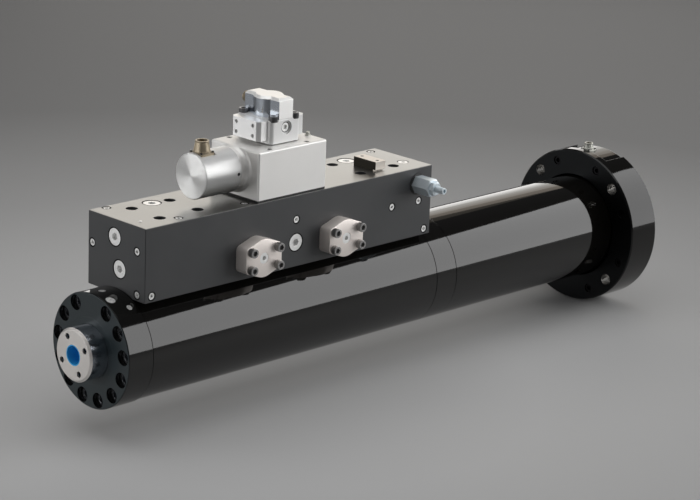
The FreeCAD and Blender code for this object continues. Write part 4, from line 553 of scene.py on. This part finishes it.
# %% [markdown]
# ## The motor cover
# The cover of the torque motor is a casting. Its long sides were polished to a mirror and the
# rest was blasted to a pale satin, so its mask reads X, and stops below the edge of the top.

# %% Polished sides, pale rest
POLISHED_DEPTH = 0.0105
TOP_EDGE = 0.0045


def cover_finish():
    finish = Finish("motor_casting", Metallic=1.0)
    x, _, z = finish.axes()
    low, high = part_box("motor_cover")
    sides = (x < low.x + POLISHED_DEPTH) + (x > high.x - POLISHED_DEPTH)
    polished = sides * (z < high.z - TOP_EDGE)
    clouds = finish.noise(20.0, 3.0)
    grain = finish.noise(1300.0, 2.0)
    finish.roughness(0.46 - polished * 0.34 + (clouds - 0.5) * 0.05)
    finish.colour(finish.mix(polished, (0.9, 0.895, 0.88), (0.8, 0.86, 0.94)))
    finish.bump(grain * (1 - polished), 0.3, 0.0001, 0.0007)
    return finish.material


motor_casting = cover_finish()
print("polished depth on each side", POLISHED_DEPTH)

# %% [markdown]
# ## Giving the CAD nodes their finish
# Each node keeps its mesh and gets a material in its slot. The table lists them by finish.

# %% Finish by node
FINISHES = {
    gloss_black: ["cylinder_tube", "rear_head", "extension_tube", "rear_cover"],
    head_black: ["front_head", "rod_wiper"],
    flange_black: ["rear_flange"],
    manifold_black: ["manifold"],
    black_oxide: ["head_screws"],
    black_flange_screw: ["flange_screws"],
    screw_black: ["cover_screws", "manifold_bolts", "connector_screws",
                  "bracket_screws", "sensor_set_screw"],
    grey_screw: ["port_cover_screws", "valve_screws", "end_cap_screws", "pilot_cap_screws"],
    dark_screw: ["pilot_screws"],
    steel: ["piston", "main_spool", "spool_sleeve", "pilot_spool", "armature", "sensor_core",
            "transducer", "relief_poppet", "relief_spring", "transducer_magnet"],
    hard_chrome: ["piston_rod"],
    bright_plug: ["head_plugs", "manifold_plugs", "port_cover_plugs", "pilot_plug"],
    cover_steel: ["front_port_cover", "rear_port_cover"],
    zinc_blue: ["relief_body", "relief_locknut", "relief_adjuster"],
    blasted: ["servo_body", "spool_end_cap"],
    pale_anodised: ["pilot_body", "pilot_rear_cap"],
    front_cap_painted_light: ["pilot_front_cap"],
    turned_aluminium: ["sensor_cover"],
    motor_casting: ["motor_cover"],
    bracket_steel: ["bracket_block"],
    olive_shell: ["sensor_connector", "transducer_connector", "pilot_connector"],
    bronze: ["rod_bearings"],
    copper: ["sensor_coil", "motor_coils"],
    rubber: ["rod_seals", "piston_seal", "seal_plates"],
    guide_band: ["piston_bands"],
    blue_cup: ["thread_protector"],
}
for material, names in FINISHES.items():
    for name in names:
        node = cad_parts[name]
        node.data.materials.clear()
        node.data.materials.append(material)
dressed = {name for names in FINISHES.values() for name in names}
print("nodes without a finish:", sorted(set(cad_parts) - dressed))

# %% [markdown]
# ## Turned parts
# Most of the new pieces are small turned parts: connector shells, pins, rings and washers. A
# turned part is an outline spun around an axis, so one helper spins an outline of points, each
# a radius and a height, and a second stands the result up at its place.

# %% Spin an outline
UP = (0.0, 0.0, 1.0)


def spun(outline, steps, ring=False):
    """A closed turned shape. A ring joins the last point of its outline to the first."""
    mesh = bmesh.new()
    points = [mesh.verts.new((radius, 0.0, height)) for radius, height in outline]
    ends = points[1:] + points[:1] if ring else points[1:]
    edges = [mesh.edges.new(pair) for pair in zip(points, ends)]
    bmesh.ops.spin(mesh, geom=points + edges, cent=(0.0, 0.0, 0.0), axis=UP,
                   angle=math.tau, steps=steps, use_merge=True)
    bmesh.ops.remove_doubles(mesh, verts=mesh.verts, dist=1e-6)
    bmesh.ops.recalc_face_normals(mesh, faces=mesh.faces)
    return mesh


def stood(mesh, place, direction):
    """Turns a shape made along Z so that it points along a direction, and moves it there."""
    turn = Vector(UP).rotation_difference(Vector(direction)).to_matrix()
    bmesh.ops.rotate(mesh, verts=mesh.verts, cent=(0.0, 0.0, 0.0), matrix=turn)
    bmesh.ops.translate(mesh, verts=mesh.verts, vec=place)
    return mesh


print("an outline is spun around", UP)

# %% [markdown]
# ## From shapes to a piece
# A connector is a shell, an insert and some pins, but it is one piece, so its shapes are put
# into one mesh and each face remembers its finish. Faces that meet at under thirty degrees are
# shaded as one smooth surface. The piece then rides on a body, so that it moves with it.

# %% Gather shapes and finish a piece
CREASE = math.radians(30.0)


def gathered(parts):
    """One mesh out of several shapes, each with the number of its finish."""
    whole = bmesh.new()
    for part, finish_number in parts:
        for face in part.faces:
            face.material_index = finish_number
        held = bpy.data.meshes.new("held")
        part.to_mesh(held)
        part.free()
        whole.from_mesh(held)
        bpy.data.meshes.remove(held)
    return whole


def finished(name, mesh, finishes, body, slot_name, *replaced):
    """Makes the object, with its finishes, that rides on a body and may stand for CAD nodes."""
    data = bpy.data.meshes.new(name)
    mesh.to_mesh(data)
    mesh.free()
    data.shade_smooth()
    data.set_sharp_from_angle(angle=CREASE)
    for finish in finishes:
        data.materials.append(finish)
    piece = bpy.data.objects.new(name, data)
    bpy.context.scene.collection.objects.link(piece)
    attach(piece, body)
    if replaced:
        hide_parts(*replaced)
    print(name, len(data.polygons), "faces")


print("edges sharper than", round(math.degrees(CREASE)), "degrees stay sharp")

# %% [markdown]
# ## The shell of a connector
# An electrical connector is a square plate with a turned barrel. The barrel tapers, has a ribbed
# band to grip and a plain mouth. The ribs come from the spun faces themselves: each face of the
# band is inset on its own and pushed inwards, which leaves a rib between each two.

# %% Barrel and plate
SOCKET_DEPTH = 8.0 * MILLIMETRE
RIB = 0.3 * MILLIMETRE
RIB_DEPTH = 0.35 * MILLIMETRE


def barrel(radius, foot, height, bore):
    """The turned shell, from the plate up to the mouth and down its bore."""
    collar = foot + 1.6 * MILLIMETRE
    mouth = height - 2.4 * MILLIMETRE
    floor = height - SOCKET_DEPTH
    shell = spun([
        (0.0, foot), (1.1 * radius, foot), (1.1 * radius, collar),
        (1.02 * radius, foot + 2.2 * MILLIMETRE), (0.8 * radius, mouth),
        (0.84 * radius, mouth + 0.3 * MILLIMETRE), (0.84 * radius, height - 0.5 * MILLIMETRE),
        (0.81 * radius, height), (bore + 0.3 * MILLIMETRE, height),
        (bore, height - 0.4 * MILLIMETRE), (bore, floor), (0.0, floor),
    ], 36)
    band = []
    for face in shell.faces:
        spot = face.calc_center_median()
        outside = Vector(spot.xy).length > bore * 1.02
        if outside and foot + 2.3 * MILLIMETRE < spot.z < mouth:
            band.append(face)
    bmesh.ops.inset_individual(shell, faces=band, thickness=RIB, depth=-RIB_DEPTH)
    return shell


def bevelled(mesh, edges, offset, segments):
    bmesh.ops.bevel(mesh, geom=edges, offset=offset, offset_type="OFFSET", affect="EDGES",
                    segments=segments, profile=0.5, material=-1)


def plate(side, thickness, corner):
    """The square foot plate with rounded corners."""
    mesh = bmesh.new()
    bmesh.ops.create_cube(mesh, size=1.0)
    bmesh.ops.scale(mesh, verts=mesh.verts, vec=(side, side, thickness))
    bmesh.ops.translate(mesh, verts=mesh.verts, vec=(0.0, 0.0, thickness / 2))
    upright = [edge for edge in mesh.edges
               if abs(edge.verts[0].co.z - edge.verts[1].co.z) > thickness / 2]
    bevelled(mesh, upright, corner, 5)
    return mesh


print("a socket is", round(SOCKET_DEPTH, 4), "deep")

# %% [markdown]
# ## Inside a connector
# The barrel holds a black insert, and gilt pins stand in it on a circle with one in the middle.
# The object's finishes are counted from zero, so the shapes of the shell, the insert and the
# pins are numbered in that order.

# %% Pins on a circle
SHELL, INSERT, PIN = range(3)
PIN_LENGTH = 3.6 * MILLIMETRE
PIN_RADIUS = 0.55 * MILLIMETRE


def pins(count, ring_radius, foot):
    """Round-tipped contacts on a circle, and one in the middle."""
    spots = [(0.0, 0.0)]
    for number in range(count):
        angle = math.tau * number / count
        spots.append((ring_radius * math.cos(angle), ring_radius * math.sin(angle)))
    outline = [(0.0, 0.0), (PIN_RADIUS, 0.0), (PIN_RADIUS, PIN_LENGTH - PIN_RADIUS),
               (0.7 * PIN_RADIUS, PIN_LENGTH), (0.0, PIN_LENGTH)]
    return [(stood(spun(outline, 10), (across, up, foot), UP), PIN) for across, up in spots]


print("pins are", round(2 * PIN_RADIUS, 5), "thick and", round(PIN_LENGTH, 5), "long")

# %% [markdown]
# ## The three connectors
# The sensor's and the transducer's connectors stand upright on a plate with screws. The pilot
# stage's points to the far side and is screwed straight into the housing, so it has no plate.

# %% The three connectors
BACK = (0.0, 1.0, 0.0)
INSERT_GAP = 0.1 * MILLIMETRE
INSERT_THICKNESS = 2.0 * MILLIMETRE
PIN_FOOT = 1.8 * MILLIMETRE


def connector(name, node, direction, shell, side, thickness, radius, height, bore, count):
    """A connector that stands for its CAD node. Side zero leaves out the plate."""
    low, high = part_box(node)
    towards = Vector(direction)
    foot = (low + high) / 2 - towards * (high - low).dot(towards) / 2
    floor = height - SOCKET_DEPTH
    edge = bore - INSERT_GAP
    insert = [(0.0, floor), (edge, floor), (edge, floor + INSERT_THICKNESS),
              (0.0, floor + INSERT_THICKNESS)]
    parts = [(barrel(radius, thickness, height, bore), SHELL), (spun(insert, 24), INSERT)]
    parts += pins(count, bore * 0.62, floor + PIN_FOOT)
    if side:
        parts.append((plate(side, thickness, side * 0.1), SHELL))
    whole = stood(gathered(parts), foot, towards)
    finished(name, whole, [shell, contact_insert, gold_pin], "cylinder", "connector_shell", node)


connector("sensor_plug_shell", "sensor_connector", UP, olive_shell,
          side=0.03, thickness=0.0035, radius=0.0138, height=0.0235, bore=0.0088, count=6)
connector("transducer_plug_shell", "transducer_connector", UP, grey_shell,
          side=0.022, thickness=0.0045, radius=0.0098, height=0.0165, bore=0.0061, count=5)
connector("pilot_plug_shell", "pilot_connector", BACK, olive_shell,
          side=0.0, thickness=0.0, radius=0.0108, height=0.015, bore=0.007, count=4)

# %% [markdown]
# ## Screw threads
# A thread is a small triangle that goes round and forwards at the same time. The spin operator
# does both, with a turn of many circles and a step along the axis, and the two open ends are
# then filled. It is used in the four tapped holes of the rod and on the relief valve's adjuster.

# %% A wound ridge
INWARDS = (1.0, 0.0, 0.0)
STEPS_A_TURN = 20
HOLE_CIRCLE = 0.032
HOLE_ANGLE = 63.0
COUNTERSINK = 0.0016
TAPPED_RADIUS = 0.0051
ROOT_GAP = 0.00003


def thread(place, direction, radius, rise, length, pitch):
    """A ridge at a radius whose crest lies a rise further out, or further in if negative."""
    mesh = bmesh.new()
    half = pitch * 0.44
    corners = [mesh.verts.new((radius, 0.0, 0.0)), mesh.verts.new((radius + rise, 0.0, half)),
               mesh.verts.new((radius, 0.0, 2 * half))]
    edges = [mesh.edges.new((corners[index - 1], corners[index])) for index in range(3)]
    turns = (length - 2 * half) / pitch
    steps = round(turns * STEPS_A_TURN)
    bmesh.ops.spin(mesh, geom=corners + edges, cent=(0.0, 0.0, 0.0), axis=UP,
                   angle=turns * math.tau, steps=steps,
                   dvec=(0.0, 0.0, turns * pitch / steps), use_merge=False)
    bmesh.ops.holes_fill(mesh, edges=mesh.edges, sides=3)
    bmesh.ops.recalc_face_normals(mesh, faces=mesh.faces)
    return stood(mesh, place, direction)


tapped = []
for quarter in range(4):
    angle = math.radians(HOLE_ANGLE + 90.0 * quarter)
    mouth = Vector((rod_front + COUNTERSINK, -HOLE_CIRCLE * math.cos(angle),
                    HOLE_CIRCLE * math.sin(angle)))
    tapped.append((thread(mouth, INWARDS, radius=TAPPED_RADIUS + ROOT_GAP, rise=-0.0005,
                          length=0.019, pitch=0.0016), 0))
finished("rod_hole_threads", gathered(tapped), [steel], "rod", "steel")

# %% [markdown]
# ## The adjuster's thread
# The adjusting screw of the relief valve stands out of its lock nut. Its thread runs from the
# nut to just short of the screw's tip, so its length is measured between the two CAD boxes.

# %% A thread on the adjuster
NEAR = (0.0, -1.0, 0.0)
NUT_GAP = 0.0004
FREE_TIP = 0.0012
adjuster_place = middle("relief_adjuster")
adjuster_place.y = low_of("relief_locknut").y - NUT_GAP
thread_length = adjuster_place.y - low_of("relief_adjuster").y - FREE_TIP
adjuster_thread = thread(adjuster_place, NEAR, radius=0.00545, rise=0.0004,
                         length=thread_length, pitch=0.0011)
finished("adjuster_thread", adjuster_thread, [zinc_blue], "relief_adjuster", "zinc")

# %% [markdown]
# ## The outline of a port cover
# A port cover is one thick plate. Its outline runs straight from four small corner rounds to a
# large round in the middle, so it is the convex hull of five circles. The hull operator finds
# that outline, and dissolving its flat triangles leaves two clean end faces.

# %% The blank of a cover
CORNER_ROUND = 0.009
PLATE_HEIGHT = 0.046


def cover_blank(size):
    """The hull of five pairs of circles, with the cover's thickness along Z."""
    mesh = bmesh.new()
    rounds = [(0.0, 0.0, size.z / 2)]
    for across in (-1, 1):
        for up in (-1, 1):
            rounds.append((across * (size.x / 2 - CORNER_ROUND),
                           up * (PLATE_HEIGHT / 2 - CORNER_ROUND), CORNER_ROUND))
    for across, up, radius in rounds:
        for height in (0.0, size.y):
            place = Matrix.Translation((across, up, height))
            bmesh.ops.create_circle(mesh, segments=64, radius=radius, matrix=place)
    hull = bmesh.ops.convex_hull(mesh, input=mesh.verts)
    inner = hull["geom_interior"] + hull["geom_unused"]
    spare = {item for item in inner if isinstance(item, bmesh.types.BMVert)}
    bmesh.ops.delete(mesh, geom=list(spare), context="VERTS")
    bmesh.ops.dissolve_limit(mesh, angle_limit=0.002, verts=mesh.verts, edges=mesh.edges)
    return mesh


print("corner rounds of a port cover", CORNER_ROUND)

# %% [markdown]
# ## The face of a port cover
# A plug closes the middle of each cover. Its front face is taken out and bridged to a circle,
# the circle is pushed down as the wall of the plug's hole, and a floor closes it. Last, the rim
# is broken by a small bevel, as every edge that is handled is.

# %% Open the face and break the rim
PLUG_RADIUS = 0.0095
PLUG_DEPTH = 0.008
BROKEN_EDGE = 0.0009


def edges_among(items, ends):
    """The edges whose two ends are both listed."""
    return [item for item in items if isinstance(item, bmesh.types.BMEdge)
            and item.verts[0] in ends and item.verts[1] in ends]


def port_cover(name, node):
    size = high_of(node) - low_of(node)
    mesh = cover_blank(size)
    face = max(mesh.faces, key=lambda item: item.calc_center_median().z)
    rim = list(face.edges)
    bmesh.ops.delete(mesh, geom=[face], context="FACES_ONLY")
    place = Matrix.Translation((0.0, 0.0, size.y))
    hole = bmesh.ops.create_circle(mesh, segments=48, radius=PLUG_RADIUS, matrix=place)["verts"]
    mouth = edges_among(mesh.edges, hole)
    bmesh.ops.bridge_loops(mesh, edges=rim + mouth)
    walls = bmesh.ops.extrude_edge_only(mesh, edges=mouth)["geom"]
    floor = [item for item in walls if isinstance(item, bmesh.types.BMVert)]
    bmesh.ops.translate(mesh, verts=floor, vec=(0.0, 0.0, -PLUG_DEPTH))
    bmesh.ops.contextual_create(mesh, geom=edges_among(walls, floor))
    bevelled(mesh, rim, BROKEN_EDGE, 3)
    bmesh.ops.recalc_face_normals(mesh, faces=mesh.faces)
    back = middle(node)
    back.y = high_of(node).y
    finished(name, stood(mesh, back, NEAR), [cover_steel], "cylinder", "cover_steel", node)


port_cover("front_port_cover_plate", "front_port_cover")
port_cover("rear_port_cover_plate", "rear_port_cover")

# %% [markdown]
# ## Knurled screw heads
# Socket screws have a knurled head, for starting them by hand. A closed ring is spun with one
# face for each tooth, just outside the CAD head, and every outer face is inset and raised.

# %% A ring of teeth
HEAD_RADIUS = 0.0075
TEETH = 40
TOOTH = 0.00022


def knurl(place, direction, length):
    inner = HEAD_RADIUS - 0.0003
    outer = HEAD_RADIUS + 0.0001
    ring = spun([(inner, 0.0), (outer, 0.0), (outer, length), (inner, length)], TEETH, ring=True)
    outside = [face for face in ring.faces if abs(face.normal.z) < 0.5
               and Vector(face.calc_center_median().xy).length > HEAD_RADIUS - 0.00005]
    bmesh.ops.inset_individual(ring, faces=outside, thickness=TOOTH, depth=TOOTH)
    return stood(ring, place, direction), 0


print("knurls of", TEETH, "teeth on heads of radius", HEAD_RADIUS)

# %% [markdown]
# ## Where the knurls go
# Four screws hold each port cover, in the pattern of a standard port flange, and four more hold
# the pilot stage on the main stage, at its corners. A knurl leaves the rounded edge of its head
# free and ends just short of the plate that the head sits on.

# %% Knurls on the port covers and the pilot stage
SCREW_ACROSS = 0.02935
SCREW_UP = 0.0151
KNURL_LENGTH = 0.0078
HEAD_EDGE = 0.0012
screw_face = low_of("port_cover_screws").y
knurls = []
for node in ("front_port_cover", "rear_port_cover"):
    centre = middle(node)
    for across in (-SCREW_ACROSS, SCREW_ACROSS):
        for up in (-SCREW_UP, SCREW_UP):
            spot = Vector((centre.x + across, screw_face + HEAD_EDGE, centre.z + up))
            knurls.append(knurl(spot, BACK, KNURL_LENGTH))
finished("port_screw_knurls", gathered(knurls), [grey_screw], "cylinder", "black_steel")
low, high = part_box("pilot_screws")
seat = high_of("pilot_body").z + 0.0004
knurls = []
for x in (low.x + HEAD_RADIUS, high.x - HEAD_RADIUS):
    for y in (low.y + HEAD_RADIUS, high.y - HEAD_RADIUS):
        knurls.append(knurl(Vector((x, y, seat)), UP, high.z - seat - 0.001))
finished("pilot_screw_knurls", gathered(knurls), [dark_screw], "cylinder", "black_steel")

# %% [markdown]
# ## Painted shade around the plugs
# Each plug of the manifold sits in a shallow recess, and the shade in that recess is painted as a
# near-black ring that fills it, which draws a dark line around the bright disc. The rings are
# spun in their recesses, a hair below the surface, from one table of faces, plug sizes and places
# measured from the block's corner.

# %% Painted shade rings around the plugs
FRONT = (-1.0, 0.0, 0.0)
# Inner and outer radius of a ring.
SMALL = (0.0058, 0.008)
LARGE = (0.0145, 0.0165)
PILOT = (0.0078, 0.0114)
PLUGS = [
    (FRONT, LARGE, (0.0, 0.076, 0.094)),
    (FRONT, LARGE, (0.0, 0.063, 0.043)),
    (FRONT, SMALL, (0.0, 0.1315, 0.072)),
    (FRONT, SMALL, (0.0, 0.0204, 0.0824)),
    (FRONT, SMALL, (0.0, 0.0194, 0.0105)),
    (NEAR, SMALL, (0.0145, 0.0, 0.0105)),
    (NEAR, SMALL, (0.6385, 0.0, 0.0105)),
    (NEAR, SMALL, (0.3285, 0.0, 0.082)),
    (NEAR, SMALL, (0.556, 0.0, 0.064)),
    (NEAR, SMALL, (0.622, 0.0, 0.064)),
    (NEAR, LARGE, (0.3285, 0.0, 0.0424)),
    (UP, SMALL, (0.03, 0.133, 0.124)),
    (UP, SMALL, (0.084, 0.018, 0.124)),
    (UP, SMALL, (0.226, 0.017, 0.124)),
    (UP, SMALL, (0.63, 0.129, 0.124)),
    (UP, LARGE, (0.107, 0.111, 0.124)),
    (UP, LARGE, (0.551, 0.111, 0.124)),
]
# Painted shade: a near-black, rough ring that mirrors almost nothing stands for the shade in each
# plug's recess.
recess_shade_black = black_coat("recess_shade_black", (0.004, 0.004, 0.004), 0.8, 0.0001, 1.25).material


def recess_shade_ring(place, direction, inner, outer, foot=-0.00038, top=-0.00006):
    outline = [(inner, foot), (outer, foot), (outer, top), (inner, top)]
    return stood(spun(outline, 36, ring=True), place, direction), 0


corner = low_of("manifold")
recess_shades = [recess_shade_ring(corner + Vector(offset), direction, inner, outer)
         for direction, (inner, outer), offset in PLUGS]
pilot_plug_place = middle("pilot_plug")
pilot_plug_place.y = low_of("pilot_plug").y
recess_shades.append(recess_shade_ring(pilot_plug_place, NEAR, *PILOT, foot=-0.0006, top=0.0002))
finished("plug_recess_shades", gathered(recess_shades), [recess_shade_black], "cylinder", "seal_rubber")

# %% [markdown]
# ## Small trim
# The relief valve screws down on a black sealing washer that stands a little proud of the
# block. A dowel marks the corner of the manifold's top, and a bleed plug closes the end of a
# drilling on the servovalve. Each is a turned shape with a broken rim, and the bleed plug is
# spun in six steps, which makes it a hexagon.

# %% Washer, dowel and bleed plug
DOWEL_X = low_of("manifold").x + 0.0224
DOWEL_Y = -0.0315
BLEED_X = high_of("servo_body").x - 0.0075
BLEED_Y = -0.031
washer_place = middle("relief_body")
washer_place.y = low_of("manifold").y + 0.0002
washer = spun([(0.0142, 0.0), (0.0192, 0.0), (0.0196, 0.0007), (0.0192, 0.0016),
               (0.0142, 0.0016)], 48, ring=True)
stood(washer, washer_place, NEAR)
finished("relief_washer", washer, [rubber], "cylinder", "seal_rubber")
dowel = spun([(0.0, -0.002), (0.0026, -0.002), (0.0026, 0.0004), (0.0021, 0.0009),
              (0.0, 0.0009)], 28)
stood(dowel, Vector((DOWEL_X, DOWEL_Y, manifold_top)), UP)
finished("manifold_dowel", dowel, [bright_plug], "cylinder", "plug_steel")
bleed = spun([(0.0, -0.001), (0.0052, -0.001), (0.0052, 0.0018), (0.0036, 0.0022),
              (0.0036, 0.0058), (0.0028, 0.0066), (0.0, 0.0066)], 6)
stood(bleed, Vector((BLEED_X, BLEED_Y, high_of("servo_body").z)), UP)
finished("servo_bleed_plug", bleed, [grey_shell], "cylinder", "connector_shell")

# %% [markdown]
# ## The camera
# The photograph was taken with a long lens from above the rod end, on the side of the ports.
# The place, the aim and the roll were found by fitting the corners of the block and the ends
# of the tubes. The sensor stays 36 mm wide, so the lens length sets the field.

# %% Camera
LENS = 132.95
SENSOR_WIDTH = 36.0
CAMERA_PLACE = Vector((-3.7359, -3.0461, 1.3664))
YAW = math.radians(-45.1937)
PITCH = math.radians(-16.8101)
ROLL = math.radians(2.1591)
forward = Vector((-math.sin(YAW) * math.cos(PITCH), math.cos(YAW) * math.cos(PITCH),
                  math.sin(PITCH)))
level = Vector((math.cos(YAW), math.sin(YAW), 0.0))
upright = level.cross(forward)
right = math.cos(ROLL) * level + math.sin(ROLL) * upright
top = -math.sin(ROLL) * level + math.cos(ROLL) * upright
camera = bpy.data.objects.new("camera", bpy.data.cameras.new("camera"))
camera.data.lens = LENS
camera.data.sensor_width = SENSOR_WIDTH
camera.data.clip_end = 60.0
camera.matrix_world = Matrix((right, top, -forward)).transposed().to_4x4()
camera.matrix_world.translation = CAMERA_PLACE
bpy.context.scene.collection.objects.link(camera)
bpy.context.scene.camera = camera
bpy.context.scene.view_settings.view_transform = "Standard"
print("camera at", [round(value, 3) for value in CAMERA_PLACE])

# %% [markdown]
# ## The floor
# The floor is a sheet under the flange, pale around the actuator and painted greyer further
# out, as painted shade for light that falls off with distance. That far grey is also what the
# undersides of the tubes mirror. A colour ramp reads the distance from the middle of the
# manifold, as a share of how far it reaches.

# %% Floor with painted falloff
FLOOR_SIZE = 14.0
FALLOFF_REACH = 4.0
# Painted shade: each stop is a share of the reach and a grey, darker further out for light that
# falls off with distance.
PAINTED_FALLOFF_GREYS = [(0.12, 0.44), (0.3, 0.27), (0.5, 0.14), (1.0, 0.1)]


def floor_with_painted_falloff():
    mesh = bmesh.new()
    bmesh.ops.create_grid(mesh, x_segments=1, y_segments=1, size=FLOOR_SIZE)
    bmesh.ops.translate(mesh, verts=mesh.verts, vec=(0.0, 0.0, cad_box[0].z - 0.002))
    data = bpy.data.meshes.new("floor")
    mesh.to_mesh(data)
    mesh.free()
    floor = bpy.data.objects.new("floor", data)
    bpy.context.scene.collection.objects.link(floor)
    finish = Finish("floor_painted_falloff")
    x, y, _ = finish.axes()
    across = x - middle("manifold").x
    clouds = finish.noise(2.0, 3.0)
    far = (across * across + y * y).root() / FALLOFF_REACH + (clouds - 0.5) * 0.01
    stops = [(share, (grey, grey, grey)) for share, grey in PAINTED_FALLOFF_GREYS]
    finish.colour(finish.node("ValToRGB", {"stops": stops}, Fac=far).outputs["Color"])
    finish.roughness(0.8)
    data.materials.append(finish.material)


floor_with_painted_falloff()
print("paper from grey", PAINTED_FALLOFF_GREYS[0][1], "to", PAINTED_FALLOFF_GREYS[-1][1], "over", FALLOFF_REACH, "m")

# %% [markdown]
# ## The room
# Gloss black shows nothing but what it mirrors, so the room is dim and even, and every light
# line on the tubes then comes from a lamp.

# %% Plain room
ROOM_GREY = (0.06, 0.06, 0.062, 1.0)
world = bpy.data.worlds.new("room")
bpy.context.scene.world = world
world.use_nodes = True
background = world.node_tree.nodes["Background"]
background.inputs["Color"].default_value = ROOM_GREY
background.inputs["Strength"].default_value = 1.0
print("room grey", ROOM_GREY[:3])

# %% [markdown]
# ## Lamps
# A soft panel over the actuator lights everything evenly. The long band on the tubes is the
# mirror image of a second, very large panel to the right of the camera, so that panel's edges
# set where the band begins and ends. Two more light the rod's end, and a narrow strip on either
# side draws a line on the tubes for whoever looks at them square on. Low panels behind the
# actuator, stacked edge to edge and dimmer and warmer upwards, draw the bright line that fades
# along the tops of the tubes.

# %% Panels
WHITE = (1.0, 1.0, 1.0)


def panel(name, place, aim, width, height, brightness, tint=WHITE):
    """A soft panel as bright to look at as a white sheet times its brightness."""
    light = bpy.data.lights.new(name, "AREA")
    light.shape = "RECTANGLE"
    light.size = width
    light.size_y = height
    light.energy = brightness * math.pi * width * height
    light.color = tint
    lamp = bpy.data.objects.new(name, light)
    lamp.location = place
    lamp.rotation_mode = "QUATERNION"
    lamp.rotation_quaternion = (Vector(aim) - Vector(place)).to_track_quat("-Z", "Y")
    bpy.context.scene.collection.objects.link(lamp)


# Each has a place, a point that it faces, a width, a height and a brightness.
panel("over_panel", (-1.0, 0.2, 3.2), (-1.0, 0.1, 0.1), 4.2, 3.6, 1.25)
panel("side_panel", (2.53, -2.19, 1.17), (-0.6, 0.0, 0.0), 4.0, 3.7, 3.1)
panel("rod_panel", (-4.0, 0.45, 0.45), (-1.2, 0.0, 0.1), 1.7, 1.15, 3.2)
for side in (-1, 1):
    panel("side_strip_%d" % side, (-0.6, side * 3.6, 2.1), (-0.6, 0.0, 0.1), 3.4, 0.6, 1.6)
panel("end_panel", (-3.45, 2.2, 0.72), (-1.2, 0.0, 0.4), 1.8, 1.66, 2.3)
# Each low strip has a lower and an upper edge, a brightness and a tint.
LOW_STRIPS = [
    (0.1, 0.9, 2.0, (1.0, 0.98, 0.95)),
    (0.9, 1.4, 1.8, (1.0, 0.97, 0.92)),
    (1.4, 1.8, 1.45, (1.0, 0.95, 0.88)),
    (1.8, 2.2, 1.35, (1.0, 0.92, 0.82)),
    (2.2, 2.8, 0.9, (1.0, 0.88, 0.74)),
    (2.8, 4.2, 0.2, (1.0, 0.9, 0.72)),
]
for number, (foot, head, brightness, tint) in enumerate(LOW_STRIPS):
    height = (foot + head) / 2
    panel("low_panel_%d" % number, (2.33, 2.73, height), (-0.6, 0.0, height),
          3.0, head - foot, brightness, tint)

# %% [markdown]
